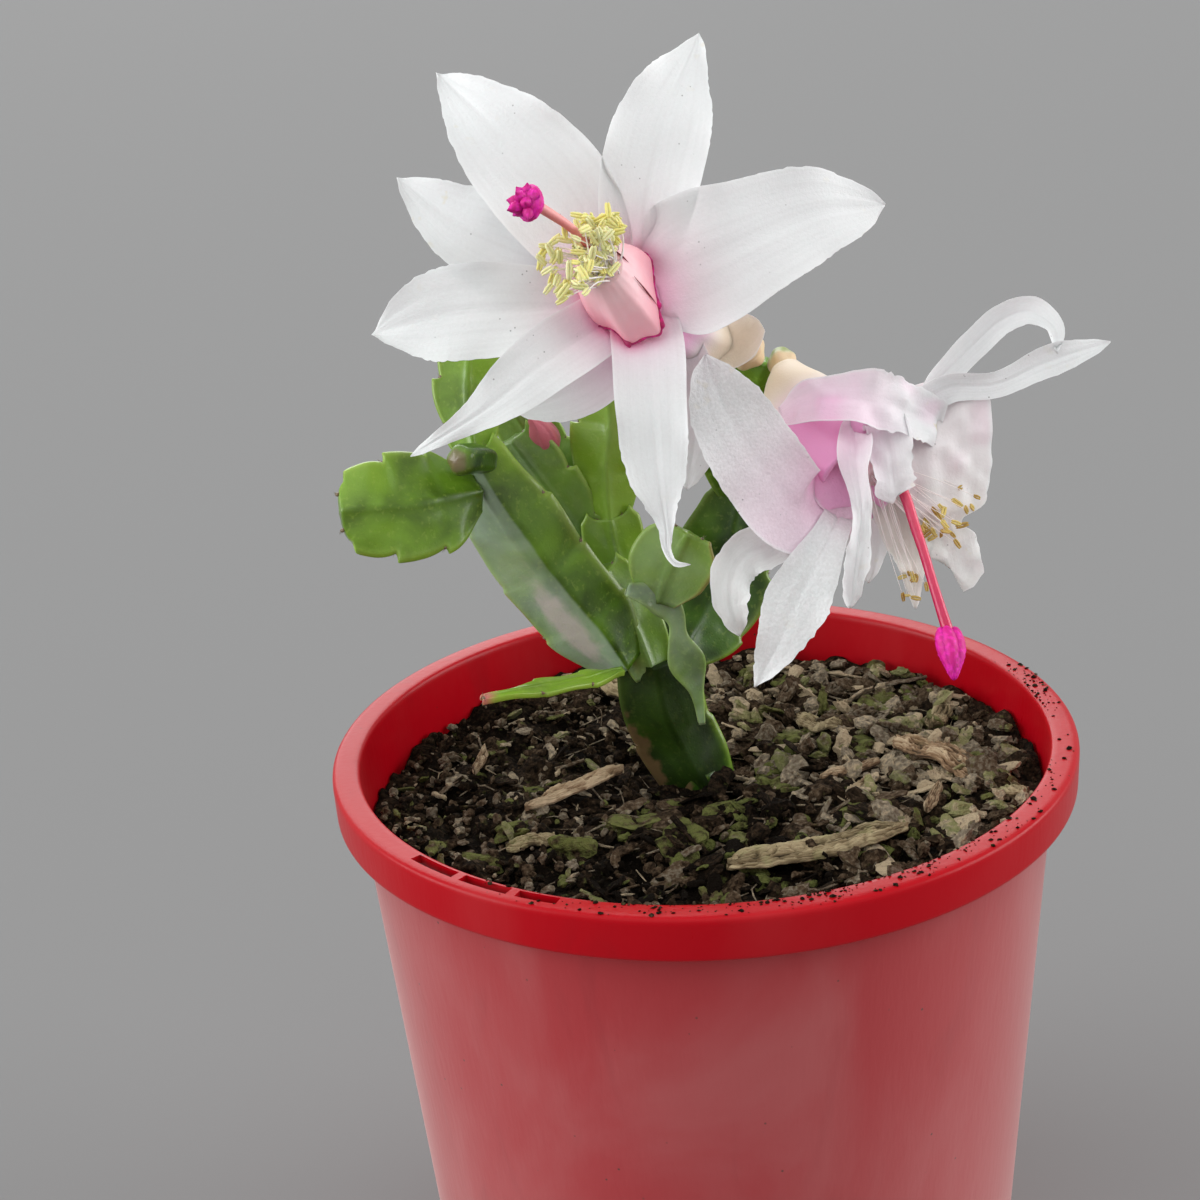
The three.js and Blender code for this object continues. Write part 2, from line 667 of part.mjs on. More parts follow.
const SIDE_BLOOM = {
  place: [27.4, -1.9, 171],
  ovary: {
    spine: [[-10.6, 20, -15.4], [-10.4, 18.4, -14], [-10, 16.6, -12]],
    radii: [1.6, 2.5, 2.2],
    sides: 8,
    steps: 4,
  },
  tube: {
    spine: [[-10, 17, -12.2], [-8.6, 12.5, -9.5], [-4, 5, -6], [0.6, -0.6, -2.6]],
    radii: [2.4, 6.2, 6.8, 7.2],
    sides: 12,
    steps: 6,
  },
  throat: {
    spine: [[-5, 6, -7.5], [-0.4, 0.4, -3.6], [5, -4.4, 4]],
    radii: [3.4, 5.4, 5.4],
    sides: 12,
    steps: 3,
  },
  petals: [
    {
      spine: [
        [2, 2, -5], [7, 7, -5], [12, 11, -5], [16.7, 15.8, -5], [21, 20, -5], [25.6, 24.2, -4],
        [30, 25.4, -2], [33.6, 22.6, 0], [34, 18, 1],
      ],
      widths: [2.5, 3, 3.2, 3, 2.7, 0.7],
      twist: [60, 75, 60, 30, 0, 0, 0, 0, 10],
    },
    {
      spine: [[2.5, 2.5, -4], [9, 8, -2.5], [16, 12.5, -2], [24, 13, -1], [32, 16.5, 0], [43, 20, 0]],
      widths: [2.8, 2.8, 2.4, 2.2, 2.6, 0.6],
      twist: [30, 20, 10, 0, 0],
    },
    {
      spine: [
        [2, 3, -6], [7, 8.5, -5], [13, 12.5, -4], [18.2, 10.5, -3], [19.4, 2, -1.6], [18.4, -8, -2],
        [19.8, -19.5, -4],
      ],
      widths: [3, 4.5, 6, 5.8, 5.4, 4.2],
      face: [0.3, 0.3, 0.9],
    },
    {
      spine: [[-7, 9, -6], [-7.4, 10.4, 1], [-1, 10.6, 6.5], [8, 10.2, 8], [17, 9.5, 5]],
      widths: [3, 3.8, 3.6, 3.9, 1.8],
    },
    {
      spine: [[1, 4.5, -4], [-1, 4.2, 3], [-0.4, -1.6, 7], [0.6, -8.2, 8], [-1, -16.5, 8], [-1.2, -24.5, 7]],
      widths: [2, 2.2, 2.3, 1.2, 1.8, 0.9],
      twist: [0, 0, 30, 0, -20, 0],
    },
    {
      spine: [
        [-1, -3, -7], [-1.6, -7.5, -3], [-3.4, -11, 2], [-6.6, -17, 5], [-10.3, -24, 6], [-13.3, -31, 6],
        [-16.7, -37.3, 5],
      ],
      widths: [3, 2.6, 2.8, 4.2, 5, 3, 0.5],
    },
    { spine: [[-6, 5, -4], [-1, -1, -7], [3, -10, -8], [3.5, -20, -6]], widths: [5, 6.5, 5.6, 4, 1] },
    { spine: [[3, 5, -5], [5.4, 7, 1.6], [6.8, 0.3, 5], [8, -5.8, 6]], widths: [3, 3.2, 3.4, 3, 0.8] },
    {
      spine: [
        [-1, -3, -6], [-6, -8.5, -1.5], [-13.6, -13.4, 2], [-18.9, -16.3, 3], [-20.7, -21.8, 4],
        [-18.9, -28.9, 3],
      ],
      widths: [3, 2.8, 3.1, 3, 2.7, 0.8],
    },
    {
      spine: [
        [1, -1.5, -5], [-3.8, -7, -0.5], [-9.8, -8, 4.5], [-15.2, -2, 7], [-20, 5.2, 8.6], [-23.4, 12, 9.4],
        [-24.9, 16.8, 9.2],
      ],
      widths: [4.5, 6, 7, 7.2, 7.2, 5.8, 1.6],
    },
  ],
  stamens: {
    column: {
      spine: [[-3.6, 4.6, -6.4], [0.4, 1, -3.4], [4.4, -1.8, 0]],
      radii: [2.8, 3.2, 2.4],
      sides: 10,
      steps: 4,
    },
    from: [3.8, -1.4, -0.4],
    to: [15.2, -13, 8],
    fan: 4.9,
    count: 13,
    seed: 9,
  },
  style: {
    spine: [
      [-3.8, 4.8, -6.4], [0.4, 1, -3.4], [6, -2.6, 2.6], [8.7, -12.6, 6.6], [10.6, -21, 9.6],
      [12.5, -28.2, 11.8],
    ],
    radii: [0.9, 0.9, 1, 1, 1, 1.1],
  },
  stigma: { spine: [[12.1, -27.4, 11.4], [12.8, -31.8, 12.8], [12.7, -35.8, 13.8]], lobes: 5, radius: 2.5 },
};

function makePetals({ tube, throat, petals, ovary }) {
  const whole = join([rod(tube), ...petals.map((blade) => petal(blade))]);
  return clearOf(whole, [rod(throat), rod(ovary, CLEARANCE)]);
}

function makeStamens({ stamens, style }) {
  const { column, from, to, fan, count, seed } = stamens;
  const draw = seeded(seed);
  const [root, middle] = [vector(from), vector(to)];
  const axis = middle.clone().sub(root).normalize();
  const right = new THREE.Vector3(0, 1, 0).cross(axis).normalize();
  const up = axis.clone().cross(right);
  // The threads fan out from the column's end, evenly round its middle
  const threads = Array.from({ length: count }, (_, k) => {
    const [angle, reach] = [k * GOLDEN_ANGLE, Math.sqrt(0.1 + (0.9 * (k + 0.5)) / count)];
    const across = right.clone().multiplyScalar(Math.cos(angle)).addScaledVector(up, Math.sin(angle));
    const start = root.clone().addScaledVector(across, 0.8 * reach * column.radii.at(-1));
    const end = middle.clone().addScaledVector(across, reach * fan).addScaledVector(axis, 5 * (draw() - 0.5));
    const lean = axis.clone().addScaledVector(across, 1.4 * (draw() - 0.3)).addScaledVector(up, draw() - 0.5);
    const [foot, tip] = [end.clone().addScaledVector(lean, -0.6), end.clone().addScaledVector(lean, 1.4)];
    return rod({ spine: [start, end].map((p) => p.toArray()), radii: [0.5, 0.4], sides: 3, steps: 1 }).add(
      rod({ spine: [foot, tip].map((p) => p.toArray()), radii: [0.4, 0.9, 0.4], sides: 4, steps: 2 }),
    );
  });
  return clearOf(join([rod(column), ...threads]), [rod({ ...style, sides: 6, steps: 8 }, CLEARANCE)]);
}

function makePistil({ style, stigma, petals }) {
  const { spine, lobes, radius } = stigma;
  const [neck, belly, tip] = spine.map(vector);
  const head = Array.from({ length: lobes }, (_, k) => {
    const angle = (2 * Math.PI * k) / lobes;
    const axis = tip.clone().sub(neck).normalize();
    const across = new THREE.Vector3(0, 0, 1).cross(axis).normalize().applyAxisAngle(axis, angle);
    const lobe = [
      neck,
      belly.clone().addScaledVector(across, radius * 0.7),
      tip.clone().addScaledVector(across, radius * 0.3),
    ];
    return rod({ spine: lobe.map((p) => p.toArray()), radii: [1, 1.2, 0.5], sides: 4, steps: 2 });
  });
  const whole = join([rod({ ...style, sides: 6, steps: 8 }), ...head]);
  return clearOf(whole, petals.map((blade) => petal(blade, CLEARANCE)));
}

// ---- The plant in its pot ----
const plant = new THREE.Group();

function place(parent, name, solid, colour, roughness = 0.5) {
  const material = new THREE.MeshStandardMaterial({ color: colour, roughness, metalness: 0 });
  const mesh = new THREE.Mesh(geometryOf(solid), material);
  mesh.name = name;
  parent.add(mesh);
  return mesh;
}

place(plant, "pot", makePot(), COLOURS.pot, 0.4);
place(plant, "potting_mix", makeSoil(), COLOURS.soil, 0.95);
BARK.forEach((chip) => place(plant, chip.name, makeChip(chip), COLOURS.bark, 0.9));
SPLINTERS.forEach((chip) => place(plant, chip.name, makeSplinter(chip), COLOURS.splinter, 0.9));

// Each stem is cut clear of those that were set before it
const stems = [
  { name: "stem_trunk", make: trunk },
  { name: "stem_left", make: leftStem },
  { name: "stem_low_shoot", make: lowShoot, colour: COLOURS.youngStem },
  { name: "stem_centre", make: centreStem },
  { name: "stem_middle", make: middleStem },
  { name: "stem_round", make: roundStem },
  { name: "stem_right", make: rightStem },
];
stems.forEach(({ name, make, colour = COLOURS.stem }, i) => {
  const earlier = stems.slice(0, i).map((stem) => stem.make(CLEARANCE));
  const whole = i === 0 ? make(0).add(trunkFoot()) : make(0);
  place(plant, name, clearOf(whole, earlier), colour);
});
place(plant, "flower_bud", clearOf(rod(BUD), [middleStem(CLEARANCE), centreStem(CLEARANCE)]), COLOURS.bud);

for (const [prefix, bloom] of [["front_bloom", FRONT_BLOOM], ["side_bloom", SIDE_BLOOM]]) {
  const group = new THREE.Group();
  group.position.set(...bloom.place);
  group.rotateZ(radians(BLOOM_TURN)).rotateX(radians(BLOOM_TILT)).rotateZ(radians(BLOOM_ROLL));
  plant.add(group);
  place(group, `${prefix}_ovary`, rod(bloom.ovary), COLOURS.ovary);
  place(group, `${prefix}_petals`, makePetals(bloom), COLOURS.petal, 0.6);
  place(group, `${prefix}_stamens`, makeStamens(bloom), COLOURS.stamen, 0.6);
  place(group, `${prefix}_pistil`, makePistil(bloom), COLOURS.pistil);
}

export default plant;
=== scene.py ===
"""A christmas cactus in bloom in its round nursery pot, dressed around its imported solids.

Lengths in the tables are millimetres in the part's own frame: +Z up, -Y towards the viewer.
The blooms have a frame of their own: u to the right, v up and w towards the viewer.
"""

import itertools
import logging
import math
from collections.abc import Callable, Iterable, Sequence
from dataclasses import dataclass, field
from enum import Enum

import bpy
import numpy as np
from bpy.types import ColorRamp, ID, Material, Mesh, NodeSocket, Object
from mathutils import Matrix, Vector


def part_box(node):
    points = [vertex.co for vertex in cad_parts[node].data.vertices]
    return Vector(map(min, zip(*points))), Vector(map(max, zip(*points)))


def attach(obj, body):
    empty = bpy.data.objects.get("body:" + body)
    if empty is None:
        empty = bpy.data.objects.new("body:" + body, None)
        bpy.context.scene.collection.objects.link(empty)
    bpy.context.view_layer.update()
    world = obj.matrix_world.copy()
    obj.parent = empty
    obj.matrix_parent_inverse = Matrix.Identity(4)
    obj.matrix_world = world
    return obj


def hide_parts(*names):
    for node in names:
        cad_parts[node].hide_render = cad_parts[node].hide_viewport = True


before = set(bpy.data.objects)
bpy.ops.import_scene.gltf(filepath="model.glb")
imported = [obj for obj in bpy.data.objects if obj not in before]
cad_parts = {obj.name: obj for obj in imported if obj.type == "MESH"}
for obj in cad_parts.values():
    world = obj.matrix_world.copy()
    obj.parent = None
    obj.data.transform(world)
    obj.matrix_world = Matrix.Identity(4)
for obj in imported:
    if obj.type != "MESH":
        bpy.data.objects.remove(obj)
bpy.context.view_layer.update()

LOG = logging.getLogger("potted_cactus")
MM = 0.001
BODY = "root"
GOLDEN_ANGLE = np.pi * (3 - math.sqrt(5))
ANY_HEADING = 6.3  # radians
SMOOTH = 180  # degrees: no edge of a skin stays sharp
POT_EDGE = 35  # degrees

Array = np.ndarray
Draws = np.random.Generator
Numbers = Sequence[float]
Point = Numbers
Points = Sequence[Point]
Grids = dict[str, Array]
Colour = tuple[float, float, float, float]
Relief = Callable[[Array, Array], Array]


# ---- Numbers along and over a surface ----
def lumps(places: Array, cell: float, seed: int) -> Array:
    """Smooth random heights, the same on every run.

    Args:
        places: Three numbers for each place, in a grid of any shape.
        cell: How far apart the lumps are, in the unit of places.
        seed: Picks the pattern.

    Returns:
        One height from -1 to 1 for each place, in the same grid.
    """
    grid = np.asarray(places, float).reshape(-1, 3) / cell
    low = np.floor(grid).astype(np.int64)
    part = grid - low
    part = part * part * (3 - 2 * part)
    total = np.zeros(len(grid))
    for corner in itertools.product((0, 1), repeat=3):
        at = low + corner
        key = at[:, 0] * 73856093 ^ at[:, 1] * 19349663 ^ at[:, 2] * 83492791 ^ (seed * 40503)
        key = (key ^ (key >> 13)) * 1274126177 & 0x7FFFFFFF
        draw = ((key ^ (key >> 15)) & 0xFFFF) / 32767.5 - 1
        total += draw * np.prod(np.where(corner, part, 1 - part), axis=1)
    return total.reshape(np.shape(places)[:-1])


def places(*numbers: Array) -> Array:
    """Puts grids of numbers together as one grid of places."""
    return np.stack(numbers, axis=-1)


def line_lumps(x: Array, cell: float, seed: int) -> Array:
    """Smooth random heights along one line."""
    return lumps(places(x, 0 * x, 0 * x), cell, seed)


def follow(values: Numbers, t: Array) -> Array:
    """Reads a smooth curve through evenly spaced values.

    Args:
        values: The values from t = 0 to t = 1.
        t: Where to read.

    Returns:
        One value for each t.
    """
    known = np.asarray(values, float)
    if len(known) == 1:
        return np.full(np.shape(t), known[0])
    padded = np.concatenate([[2 * known[0] - known[1]], known, [2 * known[-1] - known[-2]]])
    x = np.clip(t, 0, 1) * (len(known) - 1)
    i = np.minimum(x.astype(int), len(known) - 2)
    f = x - i
    a, b, c, d = (padded[i + k] for k in range(4))
    return 0.5 * (2 * b + (c - a) * f + (2 * a - 5 * b + 4 * c - d) * f**2 + (3 * b - a - 3 * c + d) * f**3)


def ease(value: Array, low: float, high: float) -> Array:
    """Rises smoothly from 0 at low to 1 at high."""
    x = np.clip((np.asarray(value, float) - low) / (high - low), 0, 1)
    return x * x * (3 - 2 * x)


def bell(*shares: Array | float) -> Array:
    """Falls from 1 in the middle to about a third at a share of 1, and on to 0."""
    return np.exp(-sum(share**2 for share in shares))


def unit(vectors: Array) -> Array:
    """Scales vectors to length 1."""
    return vectors / np.maximum(np.linalg.norm(vectors, axis=-1, keepdims=True), 1e-9)


def turns(count: int) -> Array:
    """Gives angles at even steps round a full turn."""
    return np.linspace(0, 2 * np.pi, count, endpoint=False)


def crossed(rows: Array, columns: Array) -> tuple[Array, Array]:
    """Gives both numbers at each point of a grid."""
    return np.meshgrid(rows, columns, indexing="ij")


def pushed(ways: Array, amounts: Array) -> Array:
    """Gives moves along each row's own way, by the amount at each point."""
    return ways[:, None] * amounts[..., None]


class Spine:
    """A centripetal curve through a few points, read by its length."""

    STEPS = 300

    def __init__(self, points: Points) -> None:
        """Lays the curve.

        Args:
            points: The points that it goes through.
        """
        p = np.asarray(points, float)
        p = np.vstack([2 * p[0] - p[1], p, 2 * p[-1] - p[-2]])
        x = np.linspace(0, len(points) - 1, self.STEPS)
        i = np.minimum(x.astype(int), len(points) - 2)
        f = (x - i)[:, None]
        p0, p1, p2, p3 = (p[i + k] for k in range(4))
        pairs = ((p0, p1), (p1, p2), (p2, p3))
        d0, d1, d2 = (np.sqrt(np.linalg.norm(b - a, axis=1))[:, None] for a, b in pairs)
        s1 = ((p1 - p0) / d0 - (p2 - p0) / (d0 + d1) + (p2 - p1) / d1) * d1
        s2 = ((p2 - p1) / d1 - (p3 - p1) / (d1 + d2) + (p3 - p2) / d2) * d1
        self._line = p1 + s1 * f + (3 * (p2 - p1) - 2 * s1 - s2) * f**2 + (2 * (p1 - p2) + s1 + s2) * f**3
        lengths = np.linalg.norm(np.diff(self._line, axis=0), axis=1)
        self.length = float(lengths.sum())
        self._share = np.concatenate([[0], np.cumsum(lengths)]) / self.length
        self._ahead = unit(np.gradient(self._line, axis=0))

    def at(self, t: Array) -> Array:
        """Gives the point at each share t of the length."""
        return np.stack([np.interp(t, self._share, self._line[:, k]) for k in range(3)], axis=-1)

    def ahead(self, t: Array) -> Array:
        """Gives the direction along the curve at each share t of the length."""
        return unit(np.stack([np.interp(t, self._share, self._ahead[:, k]) for k in range(3)], axis=-1))

    def stations(
        self, t: Array, face: Point, twist: Numbers = (0,)
    ) -> tuple[Array, Array, Array, Array]:
        """Gives the axes of a blade along the curve.

        Args:
            t: Shares of the length.
            face: The way that the blade's upper side looks.
            twist: Turns from up towards side, in degrees, at even steps.

        Returns:
            Centres, directions ahead, up and to the side.
        """
        ahead = self.ahead(t)
        looks = np.asarray(face, float)
        up = unit(looks - ahead * (ahead @ looks)[:, None])
        side = np.cross(ahead, up)
        turn = np.radians(follow(twist, t))[:, None]
        cos, sin = np.cos(turn), np.sin(turn)
        return self.at(t), ahead, up * cos + side * sin, side * cos - up * sin


# ---- Skins ----
@dataclass
class Skin:
    """A mesh in the making: points in millimetres, faces, and named values at the points."""

    points: Array
    faces: list[Array]
    values: Grids = field(default_factory=dict)

    @staticmethod
    def join(skins: Iterable["Skin"]) -> "Skin":
        """Puts skins together in one, each still closed.

        Args:
            skins: The skins to join.

        Returns:
            One skin, with every name that any of them has.
        """
        skins = list(skins)
        starts = np.cumsum([0] + [len(s.points) for s in skins])
        names = sorted({name for s in skins for name in s.values})
        return Skin(
            np.vstack([s.points for s in skins]),
            [part + start for s, start in zip(skins, starts) for part in s.faces],
            {n: np.concatenate([s.values.get(n, np.zeros(len(s.points))) for s in skins]) for n in names},
        )

    def say(self, **values: float | Array) -> "Skin":
        """Sets named values, one number for all points or one for each."""
        for name, value in values.items():
            self.values[name] = np.broadcast_to(np.asarray(value, float), len(self.points)).copy()
        return self

    def moved(self, matrix: Matrix) -> "Skin":
        """Places the skin by a matrix whose move is in millimetres."""
        m = np.array(matrix)
        return Skin(self.points @ m[:3, :3].T + m[:3, 3], self.faces, self.values)


def spread(grid: Array, *more: Array) -> Array:
    """Strings the numbers of one or more grids together, one for each point."""
    return np.concatenate([g.ravel() for g in (grid, *more)])


def blade(upper: Array, lower: Array, values: Grids) -> Skin:
    """Closes a thin body between two grids of points.

    Args:
        upper: Rows of points along the blade, from its left margin to its right one.
        lower: The same grid under it.
        values: Named grids of values, alike on both sides.

    Returns:
        The skin, with a value under that is 1 on its lower side.
    """
    rows, columns = upper.shape[:2]
    top = np.arange(rows * columns).reshape(rows, columns)
    base = top + rows * columns
    rings = [
        (top[:-1, :-1], top[:-1, 1:], top[1:, 1:], top[1:, :-1]),
        (base[:-1, :-1], base[1:, :-1], base[1:, 1:], base[:-1, 1:]),
        (top[:-1, 0], top[1:, 0], base[1:, 0], base[:-1, 0]),
        (top[1:, -1], top[:-1, -1], base[:-1, -1], base[1:, -1]),
        (top[0, 1:], top[0, :-1], base[0, :-1], base[0, 1:]),
        (top[-1, :-1], top[-1, 1:], base[-1, 1:], base[-1, :-1]),
    ]
    faces = [np.stack([corner.ravel() for corner in ring], axis=1) for ring in rings]
    skin = Skin(np.vstack([upper.reshape(-1, 3), lower.reshape(-1, 3)]), faces)
    skin.say(**{name: spread(grid, grid) for name, grid in values.items()})
    return skin.say(under=np.repeat([0.0, 1.0], rows * columns))


def slab(
    middle: Array, up: Array, lift: Array, half: Array, values: Grids
) -> Skin:
    """Closes a thin body round a grid of points.

    Args:
        middle: Rows of points along the body, from its left margin to its right one.
        up: The way that each row's upper side looks.
        lift: How far up each point goes.
        half: Half the thickness at each point.
        values: Named grids of values, alike on both sides.

    Returns:
        The skin.
    """
    return blade(middle + pushed(up, lift + half), middle + pushed(up, lift - half), values)


def wound(rings: Array, values: Grids | None = None, looped: bool = False) -> Skin:
    """Closes a body wound from rings of points.

    Args:
        rings: Rings in order, each anticlockwise when seen from the last ring.
        values: Named grids of values, one for each ring's point.
        looped: Joins the last ring to the first, in place of two caps.

    Returns:
        The skin.
    """
    count, sides = rings.shape[:2]
    index = np.arange(count * sides).reshape(count, sides)
    across = np.roll(index, -1, axis=1)
    corners = (index[:-1], index[1:], across[1:], across[:-1])
    if looped:
        corners = (index, np.roll(index, -1, axis=0), np.roll(across, -1, axis=0), across)
    faces = [np.stack([corner.ravel() for corner in corners], axis=1)]
    points = rings.reshape(-1, 3)
    grids = {name: grid.ravel() for name, grid in (values or {}).items()}
    if looped:
        return Skin(points, faces).say(**grids)
    ends = np.full((2, sides), [[count * sides], [count * sides + 1]])
    faces.append(np.stack([ends[0], index[0], across[0]], axis=1))
    faces.append(np.stack([ends[1], across[-1], index[-1]], axis=1))
    capped = {name: np.concatenate([g, [g[0], g[-1]]]) for name, g in grids.items()}
    return Skin(np.vstack([points, rings[0].mean(axis=0), rings[-1].mean(axis=0)]), faces).say(**capped)


def ringed(
    centre: Array, side: Array, up: Array, radius: Array, angle: Array
) -> Array:
    """Lays a ring of points round each centre, at the radius and angle of each point."""
    around = pushed(side, radius * np.cos(angle)) + pushed(up, radius * np.sin(angle))
    return centre[:, None] + around


def rod(
    spine: Spine,
    radii: Numbers,
    sides: int,
    steps: int,
    relief: Relief | None = None,
    rounded: bool = False,
) -> Skin:
    """Makes a round body along a curve.

    Args:
        spine: Its middle line.
        radii: Its radius at even steps.
        sides: How many sides it has.
        steps: How many lengths it has.
        relief: Adds a height for shares t and angles.
        rounded: Rounds both ends off.

    Returns:
        The skin, with the values along and turn, each from 0 to 1.
    """
    t = np.linspace(0, 1, steps + 1)
    face = (0, 0, 1) if abs(spine.ahead(np.zeros(1))[0, 2]) < 0.9 else (0, 1, 0)
    centre, _, up, side = spine.stations(t, face)
    angle = turns(sides)
    radius = np.maximum(follow(radii, t), 0.01)
    if rounded:
        end = radius.max() / spine.length
        near = np.minimum(np.minimum(t, 1 - t) / end, 1)
        radius = radius * np.maximum(np.sqrt(1 - (1 - near) ** 2), 0.08)
    height = np.tile(radius[:, None], (1, sides))
    grid_t, grid_angle = crossed(t, angle)
    if relief is not None:
        height = height + relief(grid_t, grid_angle)
    values = {"along": grid_t, "turn": grid_angle / (2 * np.pi)}
    return wound(ringed(centre, side, up, height, angle), values)


def turned(profile: Points, sides: int) -> Skin:
    """Turns an outline that starts and ends on the axis round it.

    Args:
        profile: Distance from the axis and height of each point.
        sides: How many sides it has.

    Returns:
        A closed skin.
    """
    outline = np.asarray(profile, float)
    angle = turns(sides)
    x, y = (np.outer(outline[:, 0], share) for share in (np.cos(angle), np.sin(angle)))
    rings = places(x, y, np.tile(outline[:, 1:], (1, sides)))[1:-1]
    skin = wound(rings[::-1])
    skin.points[-2:] = [[0, 0, outline[-1, 1]], [0, 0, outline[0, 1]]]
    return skin


def filleted(corners: Points, radius: float) -> list[Point]:
    """Rounds the corners of an open outline.

    Args:
        corners: Its points in order.
        radius: How far from a corner the rounding starts, at most.

    Returns:
        The points of the rounded outline.
    """
    points = [np.asarray(c, float) for c in corners]
    result = [points[0]]
    for before, at, after in zip(points, points[1:], points[2:]):
        reach = [min(radius, 0.45 * float(np.linalg.norm(p - at))) for p in (before, after)]
        start = at + unit(before - at) * reach[0]
        end = at + unit(after - at) * reach[1]
        for f in (0, 0.25, 0.5, 0.75, 1):
            result.append((1 - f) ** 2 * start + 2 * f * (1 - f) * at + f**2 * end)
    return [*result, points[-1]]


def pebble(size: Array, level: int, rough: float, seed: int) -> Skin:
    """Makes a small rough lump.

    Args:
        size: Its three half lengths.
        level: How often its faces are split.
        rough: How deep its dents are, as a share of its size.
        seed: Picks its shape.

    Returns:
        The skin, round its own middle.
    """
    points, faces = BALLS[level]
    dents = 1 + rough * lumps(points, 0.9, seed) + 0.5 * rough * lumps(points, 0.4, seed + 1)
    return Skin(points * dents[:, None] * size, [faces])


def ball(level: int) -> tuple[Array, Array]:
    """Gives the points and triangles of a ball of radius 1, split from an octahedron.

    Args:
        level: How many times each triangle is split in four.

    Returns:
        The points, and the corners of each triangle.
    """
    points = [sign * way for way in np.eye(3) for sign in (1, -1)]
    faces = [(0, 2, 4), (2, 1, 4), (1, 3, 4), (3, 0, 4), (2, 0, 5), (1, 2, 5), (3, 1, 5), (0, 3, 5)]
    for _ in range(level):
        middles: dict[frozenset[int], int] = {}

        def middle(a: int, b: int) -> int:
            """Gives the point half way between two others.

            Args:
                a: The number of one point.
                b: The number of the other.

            Returns:
                The number of the point between them.
            """
            key = frozenset((a, b))
            if key not in middles:
                middles[key] = len(points)
                points.append(unit(points[a] + points[b]))
            return middles[key]

        split = []
        for a, b, c in faces:
            ab, bc, ca = middle(a, b), middle(b, c), middle(c, a)
            split += [(a, ab, ca), (ab, b, bc), (ca, bc, c), (ab, bc, ca)]
        faces = split
    return np.array(points), np.array(faces)


BALLS = {level: ball(level) for level in (1, 2, 3)}


def rotation(heading: float, pitch: float, roll: float) -> Matrix:
    """Turns a thing by roll round X, then pitch round Y, then heading round Z, all in radians."""
    return Matrix.Rotation(heading, 4, "Z") @ Matrix.Rotation(pitch, 4, "Y") @ Matrix.Rotation(roll, 4, "X")


# ---- Shader graphs ----
@dataclass(frozen=True)
class Value:
    """A socket of a shader graph that takes part in sums."""

    graph: "Graph"
    socket: NodeSocket

    def _math(self, operation: str, first: "Value | float", second: "Value | float") -> "Value":
        """Adds a Math node."""
        return self.graph.add("ShaderNodeMath", {"operation": operation}, {0: first, 1: second})

    def __add__(self, other: "Value | float") -> "Value":
        """Adds another value."""
        return self._math("ADD", self, other)

    __radd__ = __add__

    def __sub__(self, other: "Value | float") -> "Value":
        """Takes another value away."""
        return self._math("SUBTRACT", self, other)

    def __rsub__(self, other: "Value | float") -> "Value":
        """Takes this value away from another."""
        return self._math("SUBTRACT", other, self)

    def __mul__(self, other: "Value | float") -> "Value":
        """Multiplies by another value."""
        return self._math("MULTIPLY", self, other)

    __rmul__ = __mul__


